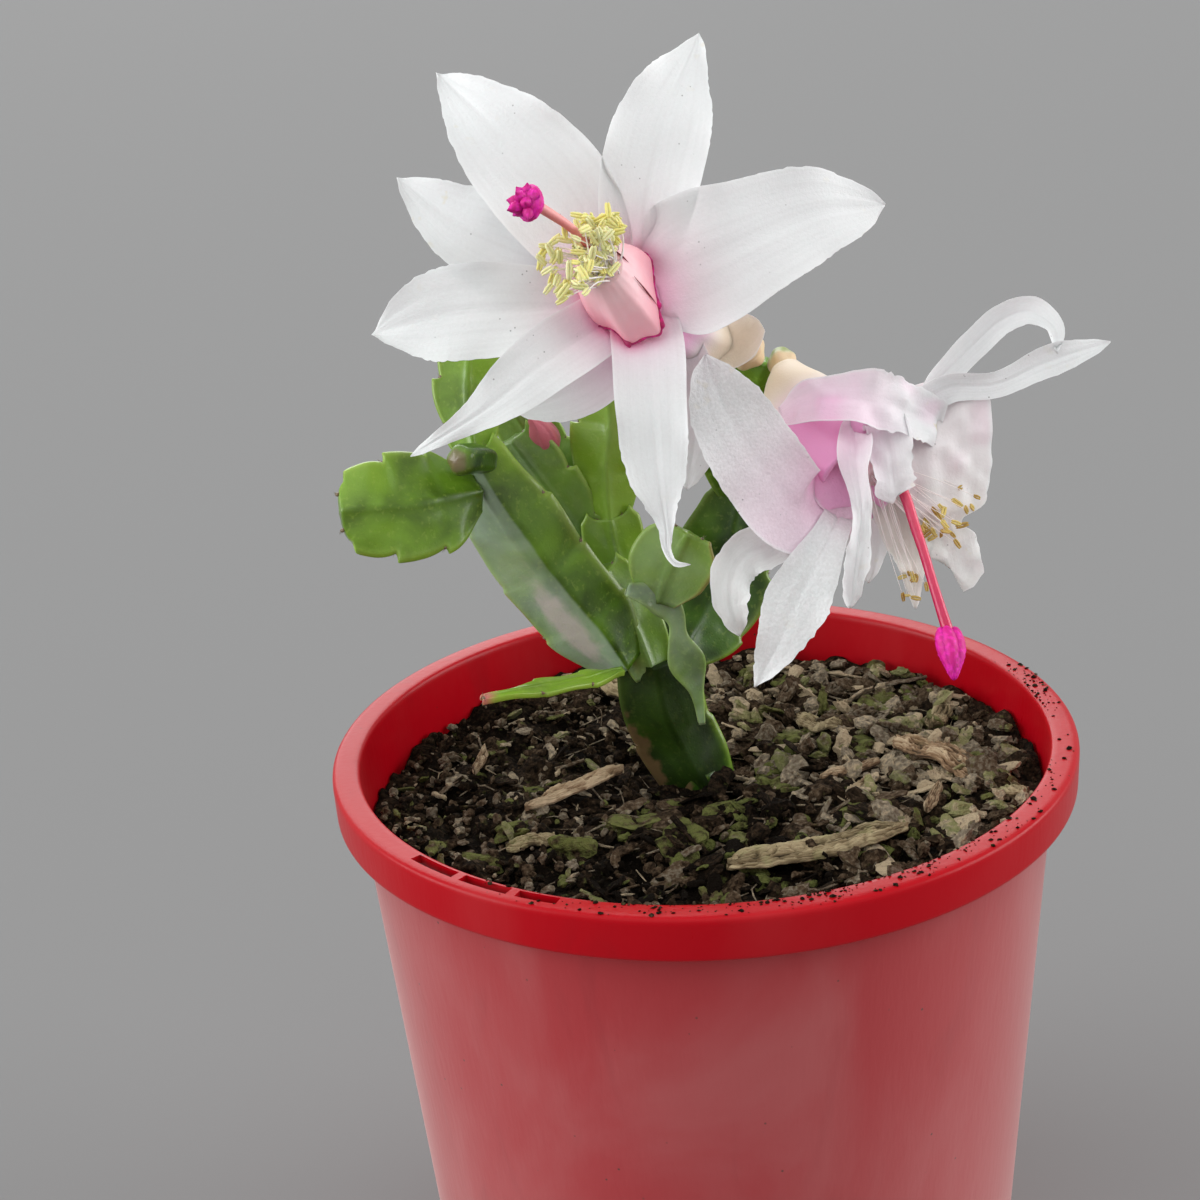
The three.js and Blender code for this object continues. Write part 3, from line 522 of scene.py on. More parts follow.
class Graph:
    """The shader graph of one material."""

    def __init__(self, name: str) -> None:
        """Starts an empty material.

        Args:
            name: The material's name.
        """
        self.material = bpy.data.materials.new(name)
        self.material.use_nodes = True
        self.tree = self.material.node_tree
        self.tree.nodes.clear()

    def add(
        self,
        kind: str,
        settings: dict[str, object] | None = None,
        inputs: dict[str | int, object] | None = None,
        output: str | int = 0,
    ) -> Value:
        """Adds a node.

        Args:
            kind: The node's type.
            settings: Its own settings, which are set first. Stops are a ramp's places and colours.
            inputs: Values or links of its sockets.
            output: Which of its outputs to give.

        Returns:
            The output.
        """
        node = self.tree.nodes.new(kind)
        for key, setting in (settings or {}).items():
            if key == "stops":
                self._set_stops(node.color_ramp, setting)
            else:
                setattr(node, key, setting)
        for key, entry in (inputs or {}).items():
            if isinstance(entry, Value):
                self.tree.links.new(entry.socket, node.inputs[key])
            else:
                node.inputs[key].default_value = entry
        return Value(self, node.outputs[output])

    @staticmethod
    def _set_stops(ramp: ColorRamp, stops: Sequence[tuple[float, Colour]]) -> None:
        """Gives a colour ramp its stops.

        Args:
            ramp: The colour ramp.
            stops: The place and colour of each stop.
        """
        while len(ramp.elements) > 1:
            ramp.elements.remove(ramp.elements[-1])
        ramp.elements[0].position, ramp.elements[0].color = stops[0]
        for place, colour in stops[1:]:
            ramp.elements.new(place).color = colour

    def place(self) -> Value:
        """Gives the place on the part, in metres."""
        return self.add("ShaderNodeTexCoord", output="Object")

    def read(self, name: str) -> Value:
        """Reads a named value of the mesh."""
        return self.add("ShaderNodeAttribute", {"attribute_name": name}, output="Fac")

    def noise(self, size: float, detail: float = 3, stretch: Point = (1, 1, 1), warp: float = 0) -> Value:
        """Adds cloudy noise.

        Args:
            size: How far apart its clouds are, in millimetres.
            detail: How many finer layers it has.
            stretch: Scales the place first, so a smaller number draws the clouds out that way.
            warp: How far it is distorted.

        Returns:
            Its strength, about 0.5 in the middle.
        """
        place = self.add("ShaderNodeVectorMath", {"operation": "MULTIPLY"}, {0: self.place(), 1: stretch})
        inputs = {"Vector": place, "Scale": 1 / (size * MM), "Detail": detail, "Distortion": warp}
        return self.add("ShaderNodeTexNoise", inputs=inputs, output="Fac")

    def cells(self, size: float) -> Value:
        """Adds cells about size millimetres apart, and gives the distance to the nearest middle."""
        inputs = {"Vector": self.place(), "Scale": 1 / (size * MM)}
        return self.add("ShaderNodeTexVoronoi", inputs=inputs, output="Distance")

    def step(self, value: Value, low: float, high: float) -> Value:
        """Rises smoothly from 0 at low to 1 at high, or falls where high is the smaller."""
        inputs = {"Value": value, "From Min": low, "From Max": high}
        return self.add("ShaderNodeMapRange", {"interpolation_type": "SMOOTHSTEP"}, inputs)

    def mix(self, share: Value | float, first: Value | Colour, second: Value | Colour) -> Value:
        """Mixes two colours."""
        return self.add("ShaderNodeMix", {"data_type": "RGBA"}, {0: share, 6: first, 7: second}, output=2)

    def coats(self, colour: Value | Colour, *layers: tuple[Value | float, Colour]) -> Value | Colour:
        """Lays colours over a first one in turn, each with its own share.

        Args:
            colour: The first colour.
            layers: The share and the colour of each layer above it.

        Returns:
            The colour on top.
        """
        for share, coat in layers:
            colour = self.mix(share, colour, coat)
        return colour

    def ramp(self, value: Value, stops: Sequence[tuple[float, Colour]]) -> Value:
        """Turns a value into a colour."""
        return self.add("ShaderNodeValToRGB", {"stops": stops}, {"Fac": value})

    def bump(self, height: Value, depth: float) -> Value:
        """Adds relief of a depth in millimetres."""
        return self.add("ShaderNodeBump", inputs={"Height": height, "Distance": depth * MM})

    def finish(self, inputs: dict[str | int, object]) -> Material:
        """Ends the graph in one Principled shader with these inputs.

        Args:
            inputs: Values, or links to them, by input.

        Returns:
            The finished material.
        """
        shader = self.add("ShaderNodeBsdfPrincipled", inputs=inputs)
        output = self.tree.nodes.new("ShaderNodeOutputMaterial")
        self.tree.links.new(shader.socket, output.inputs["Surface"])
        return self.material


# ---- Finishes ----
@dataclass(frozen=True)
class PetalFinish:
    """Thin white petal skin, flushed pink at its root, with a painted frosty sheen where its crests catch the
    light.
    """

    name: str = "petal_skin"
    white: Colour = (0.80, 0.81, 0.815, 1)
    shade: Colour = (0.71, 0.71, 0.71, 1)
    blush: Colour = (1.0, 0.43, 0.72, 1)
    throat: Colour = (0.66, 0.006, 0.20, 1)
    cream: Colour = (0.80, 0.65, 0.47, 1)
    tip: Colour = (0.72, 0.62, 0.36, 1)
    speck: Colour = (0.05, 0.045, 0.035, 1)
    # The pale white of the painted frosty sheen, also laid on the margins.
    sheen_white: Colour = (0.90, 0.91, 0.92, 1)
    torn: Colour = (0.25, 0.003, 0.05, 1)

    def material(self) -> Material:
        """Builds the material."""
        g = Graph(self.name)
        streaks = {"X": g.read("across") * 9 + g.read("kind") * 31, "Y": g.read("along") * 1.6}
        place = g.add("ShaderNodeCombineXYZ", inputs=streaks)
        inputs = {"Vector": place, "Scale": 1.0, "Detail": 2.0}
        veins = g.add("ShaderNodeTexNoise", {"noise_dimensions": "2D"}, inputs, "Fac")
        # Painted sparkle and sheen: fine grains of paler white, strongest on the reflexed petals whose crests
        # catch the light.
        frost = g.read("frost") * g.step(g.noise(0.55, 3), 0.4, 0.66)
        specks = g.step(g.cells(1.5), 0.11, 0.07) * g.step(g.noise(7, 1), 0.56, 0.66)
        colour = g.coats(
            self.white,
            (g.step(veins, 0.4, 0.8) * 0.3, self.shade),
            (frost * 0.7, self.sheen_white),
            (g.read("blush"), self.blush),
            (g.read("cream"), self.cream),
            (g.read("edge") * 0.5, self.sheen_white),
            (g.read("throat"), self.throat),
            (g.read("torn") * g.step(g.noise(1.1, 3), 0.35, 0.6), self.torn),
            (g.step(g.noise(3.2, 2), 0.62, 0.74) * g.read("tip"), self.tip),
            (specks * 0.55, self.speck),
        )
        grain = g.noise(0.22, 2) * 0.4 + veins * 0.45 + g.noise(0.5, 3) * (g.read("frost") * 1.5 + 0.4)
        return g.finish({
            "Base Color": colour, "Roughness": 0.5, "Normal": g.bump(grain, 0.09),
            "Subsurface Weight": 0.35, "Subsurface Radius": (1.0, 0.8, 0.85),
            "Subsurface Scale": 0.0025, "Specular IOR Level": 0.42, "Sheen Weight": 0.12,
            "Sheen Roughness": 0.4,
        })


@dataclass(frozen=True)
class StemFinish:
    """Waxy green stem skin, paler at its margins where a painted highlight lies, with cork where it is old; a
    pale veil paints its sheen, and a dark share paints shade where it lies in shadow.
    """

    name: str = "stem_skin"
    deep: Colour = (0.014, 0.042, 0.002, 1)
    green: Colour = (0.070, 0.195, 0.007, 1)
    young: Colour = (0.23, 0.40, 0.025, 1)
    margin: Colour = (0.36, 0.50, 0.08, 1)
    # The pale pinkish grey of the patch on the left lower segment.
    bloom: Colour = (0.56, 0.50, 0.46, 1)
    # The pale bluish colour of the painted sheen.
    sheen_layer: Colour = (0.44, 0.56, 0.43, 1)
    shaded: Colour = (0.006, 0.014, 0.0008, 1)
    cork: Colour = (0.085, 0.055, 0.022, 1)
    areole: Colour = (0.19, 0.13, 0.075, 1)
    blush: Colour = (0.55, 0.16, 0.14, 1)

    def material(self) -> Material:
        """Builds the material."""
        g = Graph(self.name)
        clouds = g.noise(9, 4, warp=0.4)
        youth = g.read("youth") + (clouds - 0.5) * 0.7
        # Painted sheen: a pale bluish veil that stands for the reflection of the light on the glossy skin.
        sheen_veil = g.step(g.noise(11, 4, warp=0.5) + g.read("wax") - 0.5, 0.0, 1.0)
        # A pale grey patch, laid where the pale value is high.
        pale_patch = g.step(g.read("pale") + (g.noise(3, 4, warp=0.6) - 0.5) * 0.7, 0.25, 0.75)
        old = g.step(g.read("cork") + (g.noise(2.4, 4) - 0.5) * 0.9, 0.35, 0.6)
        colour = g.coats(
            self.deep,
            (g.step(clouds, 0.3, 0.72), self.green),
            (g.step(youth, 0.05, 0.95), self.young),
            (g.step(g.noise(0.9, 2), 0.56, 0.72) * 0.22, self.margin),
            (sheen_veil * g.step(g.read("wax"), 0.0, 0.5) * 0.75, self.sheen_layer),
            # Painted highlight: the rim share lightens the margins, where the rounded edges catch the light.
            (g.read("rim") * 0.38, self.margin),
            (pale_patch * 0.75, self.bloom),
            (g.read("blush"), self.blush),
            # Painted shade: the dark share darkens the stems where they lie in shadow.
            (g.read("dark"), self.shaded),
            (old, self.cork),
            (g.read("areole"), self.areole),
        )
        gloss = g.step(g.noise(5, 2), 0.3, 0.8)
        relief = g.step(g.cells(0.55), 0.0, 0.5) * 0.25 + g.noise(1.7, 3) * 0.8
        # The painted shade also roughens the skin and takes away its coat.
        return g.finish({
            "Base Color": colour,
            "Roughness": gloss * 0.14 + 0.34 + old * 0.35 + g.read("dark") * 0.25,
            "Normal": g.bump(relief, 0.10), "Subsurface Weight": 0.12,
            "Subsurface Radius": (0.5, 1.0, 0.25), "Subsurface Scale": 0.0016,
            "Specular IOR Level": 0.12, "Coat Weight": g.read("dark") * -0.8 + 0.75,
            "Coat Roughness": 0.25,
        })


@dataclass(frozen=True)
class PlasticFinish:
    """Moulded red plastic with a little dust, smears and dirt, and a pale line below the collar, partly
    moulding flash and partly a painted highlight on its lower edge.
    """

    name: str
    colour: Colour
    haze: float
    sheen: float
    roughness: float
    gloss: float
    dust: Colour = (0.60, 0.34, 0.33, 1)
    smear: Colour = (0.22, 0.008, 0.012, 1)
    dirt: Colour = (0.05, 0.024, 0.015, 1)
    # A pale line below the collar: partly moulding flash, partly a painted highlight.
    flash_and_highlight: Colour = (0.85, 0.48, 0.46, 1)
    flash_height: float = 114.4
    flash_share: float = 0

    def material(self) -> Material:
        """Builds the material."""
        g = Graph(self.name)
        height = g.add("ShaderNodeSeparateXYZ", inputs={0: g.place()}, output="Z")
        clouds = g.noise(34, 5, (1, 1, 0.6), 0.5)
        haze = g.step(clouds, 0.38, 0.8)
        smears = g.step(g.noise(12, 5, (1, 1, 0.3), 1.0), 0.56, 0.8)
        # The pale line just below the collar, partly moulding flash and partly a painted highlight on the
        # collar's lower edge.
        line = g.step(height, (self.flash_height + 0.42) * MM, (self.flash_height + 0.2) * MM)
        line = line * g.step(height, (self.flash_height - 0.3) * MM, self.flash_height * MM)
        spots = g.step(g.cells(3.6), 0.075, 0.045) * g.step(g.noise(15, 2), 0.52, 0.6)
        colour = g.coats(
            self.colour,
            (haze * self.haze, self.dust),
            (smears * 0.3, self.smear),
            (line * g.step(g.noise(9, 3), 0.3, 0.7) * self.flash_share, self.flash_and_highlight),
            (spots * 0.9, self.dirt),
        )
        scuffs = g.noise(1.1, 4, (1, 1, 0.25))
        return g.finish({
            "Base Color": colour, "Roughness": self.roughness + haze * 0.12 + scuffs * 0.12,
            "Normal": g.bump(scuffs + clouds * 0.8, 0.04), "Specular IOR Level": self.gloss,
            "Sheen Weight": self.sheen, "Sheen Roughness": 0.45, "Sheen Tint": (1, 0.80, 0.78, 1),
        })


@dataclass(frozen=True)
class EarthFinish:
    """Damp peat and bark crumbs, each in its own tone, with some moss."""

    name: str = "earth"
    wet: Colour = (0.006, 0.004, 0.0025, 1)
    peat: Colour = (0.030, 0.019, 0.011, 1)
    brown: Colour = (0.095, 0.064, 0.039, 1)
    grey: Colour = (0.205, 0.172, 0.125, 1)
    tan: Colour = (0.42, 0.33, 0.215, 1)
    moss: Colour = (0.155, 0.175, 0.050, 1)

    def material(self) -> Material:
        """Builds the material."""
        g = Graph(self.name)
        grain = g.noise(0.8, 5)
        tone = g.read("tone") + (grain - 0.5) * 1.1 + (g.noise(12, 2) - 0.5) * 0.5
        stops = [(0.0, self.wet), (0.26, self.peat), (0.5, self.brown), (0.74, self.grey), (1.0, self.tan)]
        green = g.step(g.noise(1.7, 6) + g.read("moss") * 0.3, 0.6, 0.86)
        colour = g.mix(green * 0.7, g.ramp(tone, stops), self.moss)
        return g.finish({
            "Base Color": colour, "Roughness": 0.92 - g.step(grain, 0.5, 0.8) * 0.2,
            "Normal": g.bump(grain + g.noise(0.3, 3) * 0.5, 0.8), "Specular IOR Level": 0.05,
        })


@dataclass(frozen=True)
class WoodFinish:
    """Torn bark and bare wood, streaked along its fibres and dark in its cracks."""

    name: str
    dark: Colour = (0.020, 0.013, 0.008, 1)
    middle: Colour = (0.17, 0.125, 0.065, 1)
    light: Colour = (0.42, 0.34, 0.20, 1)
    lichen: Colour = (0.30, 0.31, 0.13, 1)
    green: float = 0.5

    def material(self) -> Material:
        """Builds the material."""
        g = Graph(self.name)
        across = g.read("across") * 9 + g.read("kind") * 17
        grain = {"X": across, "Y": g.read("along") * 4, "Z": g.read("under")}
        place = g.add("ShaderNodeCombineXYZ", inputs=grain)
        inputs = {"Vector": place, "Scale": 1.3, "Detail": 6.0}
        fibres = g.add("ShaderNodeTexNoise", inputs=inputs, output="Fac")
        height = g.read("tone") * 0.55 + fibres * 0.75 - 0.1
        colour = g.ramp(height, [(0.24, self.dark), (0.46, self.middle), (0.72, self.light)])
        colour = g.mix(g.step(g.noise(5, 4), 0.5, 0.7) * self.green, colour, self.lichen)
        return g.finish({
            "Base Color": colour, "Roughness": 0.88,
            "Normal": g.bump(fibres * 1.4 + g.noise(0.4, 3) * 0.4, 0.5), "Specular IOR Level": 0.2,
        })


@dataclass(frozen=True)
class FleshFinish:
    """Soft tinted flesh of the small parts of a bloom."""

    name: str
    root: Colour
    tip: Colour
    roughness: float = 0.42
    grain: float = 0.35
    depth: float = 0.05
    glow: float = 0.25
    # The dark of the slits: painted shade in the gaps of the column.
    slit: Colour = (0.16, 0.004, 0.02, 1)

    def material(self) -> Material:
        """Builds the material."""
        g = Graph(self.name)
        patches = g.noise(self.grain * 3, 3)
        share = g.read("tint") + (patches - 0.5) * 0.3
        # The slits take the painted shade.
        colour = g.coats(self.root, (g.step(share, 0.0, 1.0), self.tip), (g.read("slit"), self.slit))
        return g.finish({
            "Base Color": colour, "Roughness": self.roughness,
            "Normal": g.bump(g.noise(self.grain, 2) + patches * 0.5, self.depth),
            "Subsurface Weight": self.glow, "Subsurface Radius": (1.0, 0.55, 0.5),
            "Subsurface Scale": 0.0012,
        })


@dataclass(frozen=True)
class FloorFinish:
    """A plain pale studio floor."""

    name: str = "studio_floor"
    pale: Colour = (0.238, 0.238, 0.238, 1)

    def material(self) -> Material:
        """Builds the material."""
        g = Graph(self.name)
        return g.finish({"Base Color": self.pale, "Roughness": 0.9, "Specular IOR Level": 0.1})


class Slot(Enum):
    """The record's material slots."""

    POT = "pot_plastic"
    MIX = "potting_mix"
    BARK = "bark"
    SPLINTER = "splinter"
    STEM = "stem"
    YOUNG_STEM = "young_stem"
    BUD = "bud"
    OVARY = "ovary"
    PETAL = "petal"
    STAMEN = "stamen"
    PISTIL = "pistil"


class Wardrobe:
    """Holds each material once."""

    def __init__(self) -> None:
        """Builds all the materials."""
        self.petal = PetalFinish().material()
        self.stem = StemFinish().material()
        self.collar = PlasticFinish("pot_collar", (0.43, 0.001, 0.007, 1), 0.05, 0.0, 0.24, 0.16).material()
        body = PlasticFinish("pot_body", (0.38, 0.016, 0.022, 1), 0.2, 0.7, 0.36, 0.35, flash_share=0.8)
        self.body = body.material()
        self.earth = EarthFinish().material()
        self.bark = WoodFinish("old_bark").material()
        bare = (0.05, 0.03, 0.018, 1), (0.25, 0.155, 0.085, 1), (0.55, 0.42, 0.27, 1)
        self.wood = WoodFinish("bare_wood", *bare, green=0.1).material()
        self.column = self._flesh("filament_flesh", (0.99, 0.43, 0.50), (0.99, 0.90, 0.88), grain=1.2)
        self.pollen = self._flesh("pollen", (0.84, 0.76, 0.24), (0.92, 0.90, 0.50), 0.75, 0.12, 0.06)
        self.old_pollen = self._flesh("old_pollen", (0.40, 0.25, 0.05), (0.70, 0.55, 0.18), 0.8, 0.12, 0.06)
        self.crown = self._flesh("stigma_flesh", (0.66, 0.0, 0.24), (0.90, 0.008, 0.44), 0.5, 0.2, 0.1)
        self.salmon = self._flesh("salmon_style", (0.72, 0.14, 0.14), (0.82, 0.36, 0.34))
        self.crimson = self._flesh("crimson_style", (0.78, 0.09, 0.16), (0.50, 0.002, 0.07), 0.26)
        self.bud = self._flesh("bud_flesh", (0.30, 0.34, 0.10), (0.66, 0.17, 0.22))
        self.ovary = self._flesh("ovary_flesh", (0.30, 0.36, 0.12), (0.80, 0.62, 0.40))

    @staticmethod
    def _flesh(name: str, root: Point, tip: Point, *sizes: float, **more: float) -> Material:
        """Builds flesh that goes from one colour at its root to another at its tip."""
        return FleshFinish(name, (*root, 1), (*tip, 1), *sizes, **more).material()


def mesh_of(name: str, skin: Skin) -> Mesh:
    """Makes a mesh of a skin, with its named values.

    Args:
        name: The mesh's name.
        skin: What it is made of.

    Returns:
        The mesh.
    """
    mesh = bpy.data.meshes.new(name)
    mesh.from_pydata((skin.points * MM).tolist(), [], [face for part in skin.faces for face in part.tolist()])
    for key, numbers in skin.values.items():
        mesh.attributes.new(key, "FLOAT", "POINT").data.foreach_set("value", numbers.astype(np.float32))
    return mesh


def stood(name: str, data: ID) -> Object:
    """Puts a mesh, lamp or camera into the scene.

    Args:
        name: The object's name.
        data: What it shows.

    Returns:
        The object.
    """
    thing = bpy.data.objects.new(name, data)
    bpy.context.scene.collection.objects.link(thing)
    return thing


def hang(
    name: str, skin: Skin, material: Material, nodes: Sequence[str] = (), sharp: float = SMOOTH
) -> Object:
    """Makes a piece of the part from a skin.

    Args:
        name: The piece's name.
        skin: Its shape, in millimetres.
        material: Its finish.
        nodes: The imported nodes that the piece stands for.
        sharp: Edges that turn more than this many degrees stay sharp.

    Returns:
        The piece, riding on the part.
    """
    mesh = mesh_of(name, skin)
    mesh.materials.append(material)
    mesh.shade_smooth()
    if sharp < SMOOTH:
        mesh.set_sharp_from_angle(angle=math.radians(sharp))
    piece = stood(name, mesh)
    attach(piece, BODY)
    if nodes:
        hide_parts(*nodes)
    LOG.info("%s: %d faces", name, len(mesh.polygons))
    return piece


# ---- The pot ----
@dataclass
class Pot:
    """The moulded pot: collar with label slots, tapered body and drained floor."""

    height: float = 122
    rim_radius: float = 65
    rim_inner: float = 60.3
    rim_wall: float = 1.4
    collar_drop: float = 7.6
    body_top: float = 60.9
    taper: float = 0.075
    wall: float = 1.2
    floor: float = 2
    foot_disc: float = 25
    channel: float = 1.5
    foot_ring: float = 7
    rounding: float = 0.9
    sides: int = 180
    drain_count: int = 8
    drain_radius: float = 4
    drain_circle: float = 37
    slot_inner: float = 61.3
    slot_outer: float = 63.2
    slot_depth: float = 3
    slot_spans: tuple[Point, ...] = ((-138, -129.2), (-127.8, -119.4), (-118, -111.5))
    dirt_patches: tuple[Point, ...] = (
        (13, 5, 80), (-84, 20, 150), (-66, 8, 50), (-20, 14, 36), (-45, 14, 30),
    )

    def radius(self, z: float) -> float:
        """Gives the outer radius of the body at a height."""
        return self.body_top - self.taper * (self.height - self.collar_drop - z)

    def profile(self) -> list[Point]:
        """Gives the outline of the pot's section, from the axis below round to the axis inside."""
        top, rim, channel = self.height, self.rim_radius, self.channel
        below, under = top - self.collar_drop, top - self.rim_wall
        neck, foot = self.radius(below), self.radius(0)
        floor_top, ring = channel + self.floor, foot - self.foot_ring
        corners = [
            (0, 0), (self.foot_disc, 0), (self.foot_disc + 1, channel), (ring, channel), (ring + 1, 0),
            (foot, 0), (self.radius(6), 6), (neck, below), (neck + 0.2, under), (rim - self.rim_wall, under),
            (rim - self.rim_wall, below), (rim, below), (rim + 0.2, top - 0.6), (rim - 0.4, top),
            (self.rim_inner + 0.5, top), (self.rim_inner, top - 0.6), (neck - self.wall, below),
            (self.radius(floor_top) - self.wall, floor_top), (0, floor_top),
        ]
        return filleted(corners, self.rounding)

    def cutters(self) -> Skin:
        """Gives the bodies that the drain holes and label slots are cut with."""
        skins = []
        for k in range(self.drain_count):
            angle = 2 * np.pi * (k + 0.5) / self.drain_count
            x, y = self.drain_circle * math.cos(angle), self.drain_circle * math.sin(angle)
            skins.append(rod(Spine([(x, y, -2), (x, y, 6)]), [self.drain_radius], 32, 1))
        for start, end in self.slot_spans:
            turn = np.radians(np.linspace(start, end, 14))
            ray = places(np.cos(turn), np.sin(turn))
            top, bottom = self.height + 1, self.height - self.slot_depth
            inner, outer = self.slot_inner, self.slot_outer
            corners = ((inner, top), (inner, bottom), (outer, bottom), (outer, top))
            rows = [np.column_stack([ray * radius, np.full(len(turn), z)]) for radius, z in corners]
            skins.append(wound(np.stack(rows, axis=1)))
        return Skin.join(skins)

    def build(self, wardrobe: Wardrobe) -> None:
        """Makes the pot.

        Args:
            wardrobe: The finishes of all pieces.
        """
        shell = turned(self.profile(), self.sides)
        piece = hang("pot_shell", shell, wardrobe.collar, ["pot"], POT_EDGE)
        carve(piece, self.cutters())
        piece.data.materials.append(wardrobe.body)
        for face in piece.data.polygons:
            x, y, z = face.center / MM
            outside = math.hypot(x, y) > self.radius(z) - 0.5 * self.wall
            if z < self.height - self.collar_drop - 0.2 and (outside or z < self.channel + 0.5):
                face.material_index = 1
        hang("pot_rim_dirt", self.dirt(), wardrobe.earth)

    def dirt(self) -> Skin:
        """Makes the crumbs of dirt that lie on the rim."""
        draw = np.random.default_rng(7)
        skins = []
        for turn, spread_by, count in self.dirt_patches:
            for _ in range(count):
                angle = math.radians(turn + spread_by * draw.normal())
                share = 0.1 + 0.8 * draw.random() ** 1.3
                radius = self.rim_inner + (self.rim_radius - self.rim_inner) * share
                size = 0.09 + 0.36 * draw.random() ** 3.5
                skin = pebble(size * np.array([1.2, 1, 0.7]), 1, 0.4, int(1e6 * draw.random()))
                at = radius * math.cos(angle), radius * math.sin(angle), self.height + 0.3 * size
                skins.append(skin.moved(Matrix.Translation(at)).say(tone=0.05 + 0.3 * draw.random()))
        return Skin.join(skins)


def carve(piece: Object, cutters: Skin) -> None:
    """Cuts closed bodies out of a piece, for good.

    Args:
        piece: What is cut.
        cutters: The closed bodies.
    """
    tool = stood("cutters", mesh_of("cutters", cutters))
    cut = piece.modifiers.new("cut", "BOOLEAN")
    cut.operation, cut.solver, cut.object = "DIFFERENCE", "EXACT", tool
    seen = piece.evaluated_get(bpy.context.evaluated_depsgraph_get())
    carved = bpy.data.meshes.new_from_object(seen)
    piece.modifiers.clear()
    piece.data = carved
    bpy.data.objects.remove(tool)
    carved.set_sharp_from_angle(angle=math.radians(POT_EDGE))


